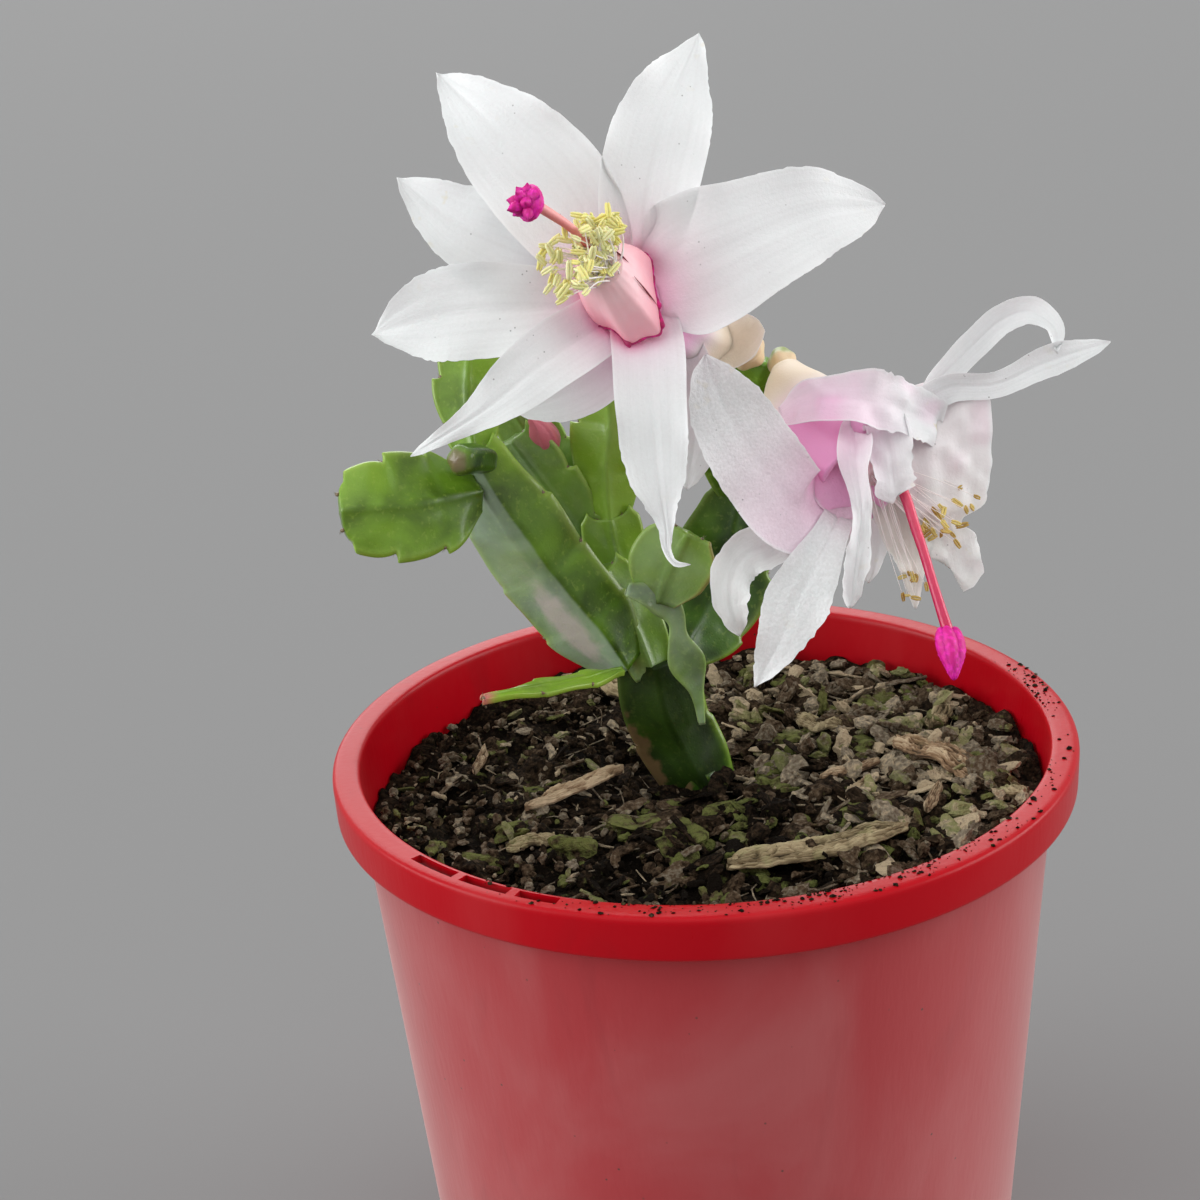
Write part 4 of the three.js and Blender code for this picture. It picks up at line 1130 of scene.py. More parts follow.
# ---- The ground ----
@dataclass
class Ground:
    """The potting mix: a rough bed with crumbs, chips, fibres and moss on it."""

    level: float = 111.6
    slope: float = 0.028
    hollow: tuple[float, float] = (-3, 4)
    hollow_radius: float = 17
    hollow_depth: float = 3.2
    bottom: float = 3.85
    bed_radius: float = 59.1
    rings: int = 112
    sides: int = 280
    seed: int = 41
    waves: tuple[Point, ...] = (
        (0.55, 0.31, 0.17, 1.1), (0.45, -0.22, 0.36, 2.3), (0.35, 0.58, -0.41, 0), (0.3, 0.47, 0.69, 0.7),
    )
    bed_lumps: tuple[Point, ...] = ((1.2, 5.5, 9), (0.8, 2.6, 1), (0.5, 1.4, 2), (0.3, 0.8, 3))
    clods: tuple[Point, ...] = (
        (-23, -22, 4.2), (-12, -13, 4.6), (-33, -13, 3), (-4.5, -24, 4.2), (5, -9, 3.6), (12, 1, 3.4),
        (18, 41, 3.2), (33, 27, 3.6), (42, 33, 3), (-8, -4, 3), (24, -17, 3.2), (-38, -24, 3),
        (30, 12, 3.4),
    )

    def height(self, x: Array, y: Array) -> Array:
        """Gives the height of the smooth ground at places.

        Args:
            x: Places to the right.
            y: Places towards the back.

        Returns:
            A height for each place.
        """
        waves = sum(high * np.sin(by_x * x + by_y * y + start) for high, by_x, by_y, start in self.waves)
        away = np.hypot(x - self.hollow[0], y - self.hollow[1]) / self.hollow_radius
        return self.level + self.slope * x + waves - self.hollow_depth * bell(away)

    @staticmethod
    def painted_light_and_shade(x: Array | float, y: Array | float) -> Array:
        """Gives painted light and shade as a change of tone at a place: paler, most at the back and right
        where the light falls; darker, least in front and round the foot of the plant where shade falls.

        Args:
            x: Places to the right.
            y: Places towards the back.

        Returns:
            A share from 0 to 1.
        """
        # Painted light: paler at the back and right, where the light falls.
        dry = 0.30 * ease(np.asarray(0.75 * x + 0.65 * y), -14, 34)
        # Painted shade: darker in front and round the foot of the plant.
        front_shade = 0.38 * bell((x - 2) / 24, (y + 30) / 20)
        under = 0.22 * bell((x - 2) / 15, (y + 4) / 12)
        return dry - front_shade - under

    def bed(self) -> Skin:
        """Makes the closed bed of the mix."""
        angle = turns(self.sides)
        radii = self.bed_radius * np.linspace(1, 0.004, self.rings)
        x, y = np.outer(radii, np.cos(angle)), np.outer(radii, np.sin(angle))
        flat = places(x, y, np.zeros_like(x))
        rough = sum(height * lumps(flat, cell, seed) for height, cell, seed in self.bed_lumps)
        top = self.height(x, y) + rough
        low = places(x[0] * 0.86, y[0] * 0.86, np.full(self.sides, self.bottom))
        rings = np.concatenate([low[None], places(x, y, top)])
        # The bed's tone takes the painted light and shade of its place.
        tone = np.vstack([np.zeros((1, self.sides)), 0.05 + 0.08 * rough + 0.3 * self.painted_light_and_shade(x, y)])
        return wound(rings, {"tone": tone})

    def strewn(self, bit: Callable[..., Skin], count: int, reach: float, more: int) -> Skin:
        """Strews loose bits over the ground.

        Args:
            bit: Makes one bit from the draws, its number and its place.
            count: How many there are.
            reach: How far from the middle they lie.
            more: Picks the draws.

        Returns:
            All of them in one skin.
        """
        draw = np.random.default_rng(self.seed + more)
        skins = []
        for k in range(count):
            radius, angle = reach * math.sqrt(draw.random()), 2 * np.pi * draw.random()
            skins.append(bit(draw, k, radius * math.cos(angle), radius * math.sin(angle)))
        return Skin.join(skins)

    @staticmethod
    def tumbled(draw: Draws, pitch: float, roll: float) -> Matrix:
        """Draws a heading and a small pitch and roll."""
        return rotation(ANY_HEADING * draw.random(), pitch * draw.normal(), roll * draw.normal())

    def laid(self, skin: Skin, x: float, y: float, lift: float, turn: Matrix) -> Skin:
        """Turns a skin and lays it on the ground at a place."""
        return skin.moved(Matrix.Translation((x, y, self.height(x, y) + lift)) @ turn)

    @staticmethod
    def coarseness(x: float) -> float:
        """Gives how large the bits are at a place: finer at the left."""
        return 0.62 + 0.38 * float(ease(np.array(x), -26, -2))

    def crumb(self, draw: Draws, k: int, x: float, y: float) -> Skin:
        """Makes a fine crumb of peat; most of them lie at the left.

        Args:
            draw: The seeded draws.
            k: Its number, which picks its shape.
            x: Where it lies to the right.
            y: Where it lies towards the back.

        Returns:
            Its skin.
        """
        x = -abs(x) if draw.random() < 0.4 else x
        size = 0.3 + 1.0 * draw.random() ** 2.2
        form = size * np.array([1, 0.6 + 0.4 * draw.random(), 0.5 + 0.4 * draw.random()])
        turn = self.tumbled(draw, 0.7, 0.7)
        lift = 0.45 * size + 0.5 * draw.random()
        skin = self.laid(pebble(form, 2 if size > 0.8 else 1, 0.45, k), x, y, lift, turn)
        # Its tone takes the painted light and shade of its place.
        return skin.say(tone=0.02 + 0.8 * draw.random() ** 1.7 + self.painted_light_and_shade(x, y))

    def bark_lump(self, draw: Draws, k: int, x: float, y: float) -> Skin:
        """Makes a coarse angular lump of bark; more of them lie at the right.

        Args:
            draw: The seeded draws.
            k: Its number, which picks its shape.
            x: Where it lies to the right.
            y: Where it lies towards the back.

        Returns:
            Its skin.
        """
        x = -x if x < 0 and draw.random() < 0.65 else x
        size = (1.0 + 1.7 * draw.random() ** 1.8) * self.coarseness(x)
        form = size * np.array([1, 0.5 + 0.4 * draw.random(), 0.32 + 0.3 * draw.random()])
        turn = self.tumbled(draw, 0.4, 0.5)
        skin = self.laid(pebble(form, 2, 0.6, k + 5000), x, y, 0.35 * size + 0.3, turn)
        # Its tone takes the painted light and shade of its place.
        tone = 0.04 + 0.78 * draw.random() ** 1.3 + self.painted_light_and_shade(x, y)
        return skin.say(tone=tone, moss=float(draw.random() < 0.2))

    def chip(self, draw: Draws, k: int, x: float, y: float) -> Skin:
        """Makes a flat chip of composted bark.

        Args:
            draw: The seeded draws.
            k: Its number, which picks its shape.
            x: Where it lies to the right.
            y: Where it lies towards the back.

        Returns:
            Its skin.
        """
        length = (1.3 + 3.6 * draw.random() ** 2.2) * self.coarseness(x)
        width = length * (0.25 + 0.45 * draw.random())
        skin = torn_plate(length, width, 0.4 + 0.45 * draw.random(), k)
        turn = self.tumbled(draw, 0.35, 0.4)
        skin = self.laid(skin, x, y, 0.4 + 1.1 * draw.random(), turn)
        # Its tone takes the painted light and shade of its place.
        tone = 0.05 + 0.92 * draw.random() ** 1.5 + self.painted_light_and_shade(x, y)
        return skin.say(tone=tone, moss=float(draw.random() < 0.15))

    def fibre(self, draw: Draws, _: int, x: float, y: float) -> Skin:
        """Makes a thin root or needle that lies in the mix.

        Args:
            draw: The seeded draws.
            _: Its number, which it has no use for.
            x: Where it lies to the right.
            y: Where it lies towards the back.

        Returns:
            Its skin.
        """
        middle = np.array([x, y, 0])
        length, heading = 3 + 8 * draw.random() ** 2, ANY_HEADING * draw.random()
        ahead = np.array([math.cos(heading), math.sin(heading), 0])
        bend = 0.22 * length * draw.normal() * np.array([-ahead[1], ahead[0], 0])
        ends = [middle - ahead * length / 2, middle + bend, middle + ahead * length / 2]
        for end in ends:
            end[2] = self.height(end[0], end[1]) + 0.5 + 0.5 * draw.random()
        radius = 0.11 + 0.2 * draw.random() ** 2
        skin = rod(Spine(ends), [0.6 * radius, radius, 0.4 * radius], 5, 5)
        return skin.say(tone=0.55 + 0.45 * draw.random())

    def mossy_clods(self) -> Skin:
        """Makes the larger clods that carry moss."""
        skins = []
        for k, (x, y, size) in enumerate(self.clods):
            skin = pebble(size * np.array([1, 0.75, 0.4]), 3, 0.8, k + 70)
            skins.append(self.laid(skin, x, y, 0.1 * size, rotation(k * 1.7, 0.15, 0.1)))
        return Skin.join(skins).say(tone=0.26, moss=0.9)

    def build(self, wardrobe: Wardrobe) -> None:
        """Makes the bed and all that lies loose in it.

        Args:
            wardrobe: The finishes of all pieces.
        """
        hang("mix_bed", self.bed(), wardrobe.earth, ["potting_mix"])
        for name, bit, count, reach, more, sharp in (
            ("mix_crumbs", self.crumb, 1900, 58.2, 0, 50),
            ("mix_chips", self.chip, 620, 55.5, 1, 40),
            ("mix_fibres", self.fibre, 260, 51, 2, SMOOTH),
            ("mix_bark_lumps", self.bark_lump, 620, 56.4, 4, 28),
        ):
            hang(name, self.strewn(bit, count, reach, more), wardrobe.earth, sharp=sharp)
        hang("mix_mossy_clods", self.mossy_clods(), wardrobe.earth, sharp=40)


def torn_plate(length: float, width: float, thick: float, seed: int) -> Skin:
    """Makes a flat torn flake, longer than it is wide.

    Args:
        length: Its half length.
        width: Its half width.
        thick: Its thickness.
        seed: Picks its outline.

    Returns:
        The skin, round its own middle.
    """
    along, across = np.linspace(-1, 1, 8), np.linspace(-1, 1, 5)
    shape = np.sqrt(np.clip(1 - 0.8 * along**2, 0, 1))
    left, right = (shape * (1 + 0.45 * line_lumps(along * 2.2, 0.7, seed + k)) for k in (0, 7))
    half = width * np.where(across < 0, left[:, None], right[:, None])
    a, b = crossed(along, across)
    flat = places(a * length, b * half, np.zeros_like(a))
    arch = 0.3 * thick * lumps(flat, 0.9, seed + 3)
    up = np.tile([0, 0, 1], (len(along), 1))
    edge = 0.4 + 0.6 * (1 - np.abs(b) ** 3)
    return slab(flat, up, arch, thick * edge / 2, {"along": (a + 1) / 2, "across": b})


@dataclass(frozen=True)
class Litter:
    """A torn piece of bark or wood on the ground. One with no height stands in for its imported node."""

    name: str
    length: float
    width: float
    thick: float
    x: float
    y: float
    heading: float
    z: float | None = None
    bare: bool = False

    COLUMNS = 25

    def skin(self, seed: int) -> Skin:
        """Makes the piece, with long cracks and splintered ends.

        Args:
            seed: Picks its outline and cracks.

        Returns:
            The skin where it lies.
        """
        z = self.z
        if z is None:
            low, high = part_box(self.name)
            z = (low.z + high.z) / 2 / MM
        rows = 40 + int(1.6 * self.length)
        a, b = crossed(np.linspace(-1, 1, rows), np.linspace(-1, 1, self.COLUMNS))

        def noise(x: Array, y: Array, cell: float, more: int) -> Array:
            """Reads lumps over the piece."""
            return lumps(places(x, y, 0 * x), cell, seed + more)

        splinters = noise(b * self.width / 2, a * 0, 0.55, 0)
        reach = a * self.length / 2 * (0.90 + 0.10 * splinters * np.abs(a) ** 3)
        waist = 0.16 * noise(a * 3, np.sign(b), 0.7, 2) + 0.07 * noise(a * 9, np.sign(b), 0.6, 3)
        taper = 0.3 + 0.7 * np.sqrt(np.clip((1 - np.abs(a)) / 0.4, 0, 1))
        half = self.width / 2 * (0.84 + waist) * taper
        cracks = noise(a * self.length / 16, b * self.width / 2, 0.42, 4)
        fine = noise(a * self.length / 8, b * self.width / 2, 0.2, 5)
        deep = np.clip(np.abs(cracks) * 2.6, 0, 1) - 1
        layer = 0.16 * np.floor(2.2 * noise(a * 2, b * 1.4, 0.8, 6) + 0.5)
        relief = 0.34 * deep + 0.14 * fine + layer
        arch = np.sqrt(np.clip(1 - b**2, 0, 1))
        bend = 0.5 * self.thick * noise(a, 0 * a, 0.8, 7)
        rise = self.thick * (0.55 * arch * (0.5 + 0.5 * taper) + relief * arch)
        upper = places(reach, b * half, rise + bend + 0.15)
        lower = places(reach, b * half, bend - 0.35 * self.thick * arch)
        tone = np.clip(0.62 + 1.2 * relief, 0, 1)
        skin = blade(upper, lower, {"along": (a + 1) / 2, "across": b, "tone": tone})
        turn = rotation(math.radians(self.heading), 0, 0)
        return skin.moved(Matrix.Translation((self.x, self.y, z)) @ turn).say(kind=(seed % 9) / 9)

    def build(self, wardrobe: Wardrobe, seed: int) -> None:
        """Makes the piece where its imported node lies.

        Args:
            wardrobe: The finishes of all pieces.
            seed: Picks its shape.
        """
        finish, slot = (wardrobe.wood, Slot.SPLINTER) if self.bare else (wardrobe.bark, Slot.BARK)
        name, nodes = (self.name + "_torn", [self.name]) if self.z is None else (self.name, [])
        hang(name, self.skin(seed), finish, nodes, sharp=50)


LITTER = (
    Litter("bark_chip_front", 32, 7.4, 2.0, 18, -31, 18),
    Litter("bark_chip_right", 25, 8.6, 2.4, 43, -1, -50, bare=True),
    Litter("bark_chip_left", 22, 3.9, 1.8, -23, -2, 34, bare=True),
    Litter("bark_chip_back", 18, 9, 2.4, -12, 40, -32),
    Litter("wood_splinter_left", 13, 2.2, 1.5, -41, 12, 86, bare=True),
    Litter("wood_splinter_right", 10.4, 2.4, 1.5, 39, -14, 70, bare=True),
    Litter("mix_red_stick_back", 14, 2.4, 1.5, 26, -1, 31, z=113.9, bare=True),
    Litter("mix_red_stick_front", 11, 2.2, 1.4, 27.5, -7.5, 52, z=113.7, bare=True),
    Litter("mix_pale_chip", 10, 6, 1.6, 52, -10.5, -66, z=114.2),
    Litter("mix_dark_chip_left", 9, 4.5, 1.6, -30, -19, 12, z=111.6),
    Litter("mix_dark_chip_back", 11, 5, 1.8, 22, 20, -40, z=113.6),
    Litter("mix_dark_chip_right", 10, 4.4, 1.8, 44, 18, 66, z=114.2),
)


# ---- Stems ----
TOWARDS_FRONT = (0.05, -0.93, 0.36)


@dataclass(frozen=True)
class Segment:
    """A flat toothed stem segment, cut off at its end between two horns."""

    spine: Points
    widths: Numbers
    face: Point = TOWARDS_FRONT
    teeth: int = 3
    rib: float = 3.6
    cup: float = 0
    horn: float = 1.8
    margin: float = 0.9
    youth: float = 0.35
    cork: float = 0
    wave: float = 0.3
    flow: float = 0.08
    notch: float = 0.78
    lean: float = 1.1
    blush_right: float = 0
    tip_blush: float = 0
    pale: float = 0
    keel: float = 0
    # How much painted sheen lies over the whole segment, and over its face left of the ridge alone.
    wax: float = 0
    # How much painted shade darkens the segment where it lies in shadow.
    dark: float = 0
    painted_sheen_left: float = 0
    ridge: float = 0
    tooth_rows: tuple[float, ...] = (
        0, 0.06, 0.13, 0.2, 0.28, 0.36, 0.44, 0.52, 0.6, 0.67, 0.73, 0.78, 0.82, 0.85, 0.88, 0.92, 0.96,
    )

    POINT_AT = 0.84
    COLUMNS = 33
    BRISTLES = 4

    def rows(self) -> Array:
        """Gives the shares of the length at which the skin has a row."""
        shares = [(k + x) / self.teeth for k in range(self.teeth) for x in self.tooth_rows]
        return np.array([*shares, 1.0])

    def outline(self, t: Array) -> tuple[Array, Array]:
        """Gives the margin's share of the full width, and how far its points lean ahead.

        Args:
            t: Places along the segment, from 0 to 1.

        Returns:
            The two, for each place.
        """
        x = np.where(t >= 1, 1, (t * self.teeth) % 1)
        rising = np.sin(np.clip(x / self.POINT_AT, 0, 1) * np.pi / 2) ** 0.85
        falling = np.clip((x - self.POINT_AT) / (1 - self.POINT_AT), 0, 1)
        share = self.notch + (1 - self.notch) * np.where(x < self.POINT_AT, rising, (1 - falling) ** 1.3)
        lean = self.lean * np.where(x < self.POINT_AT, (x / self.POINT_AT) ** 3, (1 - falling) ** 1.5)
        last = ease(t, 1 - 0.35 / self.teeth, 1)
        return share, lean * (1 - last) + self.horn * last

    def skin(self, seed: int) -> Skin:
        """Makes the segment.

        Args:
            seed: Picks its small unevenness.

        Returns:
            The skin with its areoles.
        """
        t = self.rows()
        across = np.sin(np.linspace(-1, 1, self.COLUMNS) * np.pi / 2)
        axes = Spine(self.spine).stations(t, self.face)
        centre, ahead, up, side = axes
        share, lean = self.outline(t)
        size = np.abs(across)
        drift = line_lumps(t * 3, 0.7, seed)
        edge = follow(self.widths, t) * share
        half = edge[:, None] * (1 + 0.03 * drift[:, None] * across)
        bulge = (1 - size) ** 1.6
        round_edge = np.sqrt(np.clip(1 - (np.clip(size - 0.9, 0, 1) / 0.1) ** 2, 0.02, 1))
        thickness = (self.margin + (self.rib - self.margin) * bulge) * round_edge
        midrib = 0.16 * bell(across / 0.07) - 0.1 * bell((size - 0.2) / 0.09)
        bead = 0.10 * bell((size - 0.93) / 0.05)
        swing = np.sin(2 * np.pi * (t[:, None] * self.teeth - size * 0.55))
        flow = swing * self.flow * (size * (1 - size) * 4)
        waving = self.wave * np.sin(2 * np.pi * self.teeth * t[:, None] * 0.9 + seed + 2 * across) * size**2
        middle = centre[:, None] + pushed(side, half * across)
        middle = middle + pushed(ahead, lean[:, None] * across**4)
        bumps = 0.30 * lumps(middle, 6.5, seed + 3) + 0.10 * lumps(middle, 2.4, seed + 4)
        from_ridge = (across - self.ridge) / np.where(across > self.ridge, 1 - self.ridge, -1 - self.ridge)
        lift = self.cup * across**2 + waving - self.keel * from_ridge
        relief = (midrib + bead + flow + bumps * (1 - size**4)) * round_edge
        a, b = crossed(t, across)
        right = ease(b, 0.82, 1) * self.blush_right + ease(a, 0.9, 1) * self.tip_blush
        # Painted highlight along the margins.
        rim = ease(np.abs(b), 0.80, 1) * (0.6 + 0.4 * ease(a, 0, 0.3))
        old = self.cork * ease(-b, 0.2, 0.95) * ease(0.9 - a, 0, 0.4)
        youth = self.youth + 0.22 * (a - 0.5) + 0.1 * np.abs(b)
        # A pale grey patch low on the left half.
        scar = self.pale * bell((a - 0.27) / 0.23, (b + 0.26) / 0.38)
        # Painted sheen: the reflection of the light on the glossy skin, strongest left of the ridge.
        sheen_layer = self.wax + self.painted_sheen_left * ease(self.ridge - b, 0, 0.12)
        values = {"along": a, "across": b, "rim": rim, "youth": youth, "cork": old, "blush": right}
        # The dark value is painted shade, which fades out at the right margin.
        values |= {"pale": scar, "wax": sheen_layer, "dark": self.dark * (1 - ease(b, 0.72, 0.98))}
        body = slab(middle, up, lift, thickness / 2 + relief, values)
        return Skin.join([body, *self.areoles(axes, edge, seed)])

    def areoles(self, axes: tuple[Array, Array, Array, Array], edge: Array, seed: int) -> list[Skin]:
        """Makes the woolly pads in the notches, each with a few bristles.

        Args:
            axes: The centre and axes of each row.
            edge: How far the margin is from the centre of each row.
            seed: Picks the bristles.

        Returns:
            A skin for each pad and bristle.
        """
        draw = np.random.default_rng(seed)
        skins = []
        for k in range(1, self.teeth + 1):
            row = min(k * len(self.tooth_rows), len(edge) - 1)
            centre, ahead, up, side = (axis[row] for axis in axes)
            for sign in (-1, 1):
                reach = edge[row] - 0.25 + (0.0 if row < len(edge) - 1 else -0.35 * edge[row])
                spot = sign * reach / edge[row]
                fall = (spot - self.ridge) / (sign - self.ridge)
                base = centre + side * sign * reach + up * (self.cup * spot**2 - self.keel * fall)
                pad = pebble(np.array([0.42, 0.36, 0.36]), 1, 0.3, seed + k)
                skins.append(pad.moved(Matrix.Translation(base)).say(areole=1))
                for _ in range(self.BRISTLES):
                    way = unit(ahead * 0.8 + side * sign * 0.7 + 0.35 * draw.normal(size=3))
                    length = 0.5 + 0.6 * draw.random()
                    hair = Spine([base, base + way * length])
                    skins.append(rod(hair, [0.055, 0.02], 3, 1).say(areole=0.8))
        return skins


@dataclass(frozen=True)
class Wing:
    """A thin wavy flap of stem skin."""

    spine: Points
    widths: Numbers
    face: Point = TOWARDS_FRONT
    cup: float = 0.6
    youth: float = 0.4
    # How much painted sheen lies over the flap.
    wax: float = 0.5

    ROWS, COLUMNS = 60, 13

    def skin(self, seed: int) -> Skin:
        """Makes the flap.

        Args:
            seed: Picks its lumps.

        Returns:
            A closed skin.
        """
        t = np.linspace(0, 1, self.ROWS)
        across = np.linspace(-1, 1, self.COLUMNS)
        centre, _, up, side = Spine(self.spine).stations(t, self.face)
        half = np.maximum(follow(self.widths, t), 0.4)[:, None]
        lift = self.cup * half * across**2 / max(self.widths) + 0.3 * np.sin(t * 19)[:, None] * across
        thickness = 0.8 * np.sqrt(np.clip(1 - across**4, 0.05, 1))
        middle = centre[:, None] + pushed(side, half * across)
        grain = 0.12 * lumps(middle, 1.6, seed)
        a, b = crossed(t, across)
        # Painted highlight along the margins.
        rim = ease(np.abs(b), 0.5, 1) * 0.8
        values = {"along": a, "across": b, "rim": rim}
        values |= {"youth": np.full(a.shape, self.youth), "wax": np.full(a.shape, self.wax)}
        return slab(middle, up, lift, thickness / 2 + grain, values)


@dataclass
class Stems:
    """All the stems of the plant and its bud."""

    # The trunk lies in shadow, so it carries painted shade.
    trunk_base: Segment = Segment(
        [(0.4, 5.2, 107.5), (-1.8, 5.4, 112.6), (-3.8, 6.4, 117), (-6.5, 6.4, 124.2), (-7.7, 7.1, 132.8)],
        [6.6, 7.4, 7.8, 7.7, 6.8], face=(0.05, -0.97, 0.2), teeth=2, rib=6.4, youth=0.1, notch=0.94,
        cork=0.62, keel=1.4, ridge=0.2, dark=0.85,
    )
    trunk_upper: Segment = Segment(
        [(-7.9, 6.8, 130.5), (-10.5, 8.4, 138.4), (-13.8, 9, 145.9), (-15.6, 9, 150.6)], [4.4, 5.2, 5.4, 4],
        teeth=2, rib=5.2, youth=0.5, wax=0.3,
    )
    trunk_horn: Wing = Wing(
        [(-14.4, 8.2, 144), (-18.2, 7.2, 151), (-21.8, 6.5, 157.4)], [3.4, 2.4, 0.5], cup=0,
    )
    trunk_wing: Wing = Wing(
        [(0.2, 5, 121.4), (-0.6, 4.4, 129), (-3, 3.3, 138.1), (-3.6, 3.1, 143.1), (-6.6, 2.2, 147),
         (-11.5, 0.9, 149.4)],
        [0.6, 1.3, 3.3, 1.5, 2.6, 1.2],
    )
    trunk_foot: tuple[Point, ...] = ((-0.4, 6.2, 100), (-0.8, 6.2, 112))
    low_shoot: Segment = Segment(
        [(-13.4, 2.6, 133.6), (-18.7, -4.7, 135.6), (-26.8, -12, 137.4), (-35.7, -18.5, 138.7)],
        [0.9, 2.1, 2.7, 2.4, 1.6, 0.5], face=(0.1, -0.12, 1), rib=1.3, youth=0.62, notch=0.84, horn=0.6,
        tip_blush=1, keel=0.3,
    )
    # Its left face carries a broad painted sheen: the reflection of the light on it.
    left_lower: Segment = Segment(
        [(-13.4, 4.2, 132.8), (-24.8, 2.9, 150), (-32.3, 1.9, 163.4), (-37, 3.4, 173.8)],
        [5.4, 8.8, 8.8, 9, 7.8, 4.8], face=(-0.3, -0.88, 0.36), teeth=4, rib=4.2, cup=-0.4, youth=0.3,
        notch=0.94, lean=0.9, flow=0.02, pale=0.95, keel=3.4, ridge=0.3, wax=0.02, painted_sheen_left=0.62,
    )
    left_side: Segment = Segment(
        [(-35.6, 0.6, 168.2), (-43.3, -4.6, 168.8), (-50.4, -8.2, 169.6), (-57.4, -10.8, 170)],
        [4, 9, 9.6, 8.8, 6], face=(0, -0.9, 0.44), cup=-0.8, horn=-1.2, youth=0.42, notch=0.84, wax=0.07,
    )
    left_upper: Segment = Segment(
        [(-36, 4.4, 172.4), (-37.2, 11.2, 181.3), (-36.3, 17.2, 192)], [3, 5.6, 6.4, 5], youth=0.5,
        wax=0.06,
    )
    left_stub: tuple[Point, ...] = ((-33.4, 4.4, 172.6), (-35.4, 0, 174.6), (-38.4, -5.4, 176))
    middle_front: Segment = Segment(
        [(-16.6, 16.4, 148.6), (-22.2, 15.6, 160), (-30.2, 14.6, 173.6)], [3, 6, 6.6, 5],
        face=(-0.35, -0.88, 0.3), youth=0.5, wax=0.3,
    )
    middle_back: Segment = Segment(
        [(-17, 22.4, 150.5), (-23.2, 22.6, 163.8), (-30.8, 22, 177.4)], [3, 6, 6.4, 4.6],
        face=(-0.2, -0.94, 0.3), youth=0.5, wax=0.3,
    )
    middle_joint: tuple[Point, ...] = ((-16.6, 16, 150), (-16.8, 22.8, 152))
    centre_lower: Segment = Segment(
        [(-12.2, 12.6, 148.4), (-13.6, 13.7, 152.6), (-14.3, 14.3, 158)], [3.6, 5.6, 5], teeth=1,
        youth=0.55, wax=0.2,
    )
    centre_upper: Segment = Segment(
        [(-14.3, 14.3, 157), (-14.4, 15.7, 166.5), (-13.2, 17, 175.2), (-13.7, 18, 183.7)],
        [4.2, 6.8, 7.2, 6], youth=0.95, wax=0.2, keel=1.6,
    )
    round_segment: Segment = Segment(
        [(-6.4, 2.6, 146.2), (-4.3, 2, 151.8), (-0.4, 1.9, 158.8)], [3.4, 6.4, 7.4, 7, 4.4], teeth=1,
        rib=2.2, youth=0.6, notch=0.97, horn=0.3, lean=0.5, blush_right=0.35, wax=0.34,
    )
    # This segment faces down into shadow, so it carries painted shade.
    right_lower: Segment = Segment(
        [(-4.4, 9.6, 131.4), (1.2, 18, 138.6), (5.8, 23.2, 146.6), (8.9, 26.4, 156.6)],
        [3.4, 9.4, 10.8, 9.4, 5], face=(0.2, -0.93, 0.3), rib=4, dark=0.35, youth=0.05, notch=0.88,
    )
    right_upper: Segment = Segment(
        [(8.7, 26.2, 155.4), (10, 25.4, 167.6), (12.4, 23.1, 175.6), (14.6, 20.8, 183)], [3.6, 8, 8.6, 7.6],
        youth=0.3,
    )
    bud_spine: tuple[Point, ...] = ((-24, 18.4, 169.4), (-25, 15.6, 173.4), (-27, 13, 177.6))
    bud_radii: tuple[float, ...] = (1.2, 2.6, 2.2, 0.5)
    bud_scales: int = 6

    def stub(self) -> Skin:
        """Makes the short stub, with low ribs, a swollen lip and a dry scar."""
        skin = rod(
            Spine(self.left_stub), (2.2, 2.5, 2.8), 40, 30,
            lambda t, angle: 0.12 * np.cos(5 * angle) + 0.25 * ease(t, 0.75, 0.95), rounded=True,
        )
        along = skin.values["along"]
        # The rim share paints a highlight on the lip.
        return skin.say(youth=0.15, areole=0.9 * ease(along, 0.93, 0.985), rim=0.6 * ease(along, 0.8, 0.95))

    def bud(self) -> Skin:
        """Makes the bud, with scales wound round it."""

        def relief(t: Array, angle: Array) -> Array:
            """Raises the edge of each scale."""
            turn = (angle / (2 * np.pi) * self.bud_scales + 1.6 * t) % 1
            return 0.32 * (turn - 0.5) * np.sin(np.pi * np.clip(t, 0, 1)) ** 0.5

        skin = rod(Spine(self.bud_spine), self.bud_radii, 60, 40, relief, rounded=True)
        return skin.say(tint=ease(skin.values["along"], 0.05, 0.4))

    def build(self, wardrobe: Wardrobe) -> None:
        """Makes every stem and the bud.

        Args:
            wardrobe: The finishes of all pieces.
        """
        foot = rod(Spine(self.trunk_foot), (4.8, 3.2), 40, 12).say(cork=0.4, youth=0.05)
        joint = rod(Spine(self.middle_joint), (2.2, 2.2), 20, 6).say(youth=0.3)
        groups = {
            "stem_trunk": (self.trunk_base, self.trunk_upper, self.trunk_horn, self.trunk_wing),
            "stem_left": (self.left_lower, self.left_side, self.left_upper),
            "stem_low_shoot": (self.low_shoot,),
            "stem_middle": (self.middle_front, self.middle_back),
            "stem_centre": (self.centre_lower, self.centre_upper),
            "stem_round": (self.round_segment,),
            "stem_right": (self.right_lower, self.right_upper),
        }
        round_parts = {"stem_trunk": [foot], "stem_left": [self.stub()], "stem_middle": [joint]}
        seeds = itertools.count(1)
        for node, blades in groups.items():
            skins = [part.skin(next(seeds)) for part in blades]
            skin = Skin.join([*skins, *round_parts.get(node, [])])
            hang(node + "_skin", skin, wardrobe.stem, [node])
        hang("flower_bud_scales", self.bud(), wardrobe.bud, ["flower_bud"])


# ---- Blooms ----
DROOP = np.array([0.1, -0.7, 0])  # the way that an anther hangs, in the bloom's frame


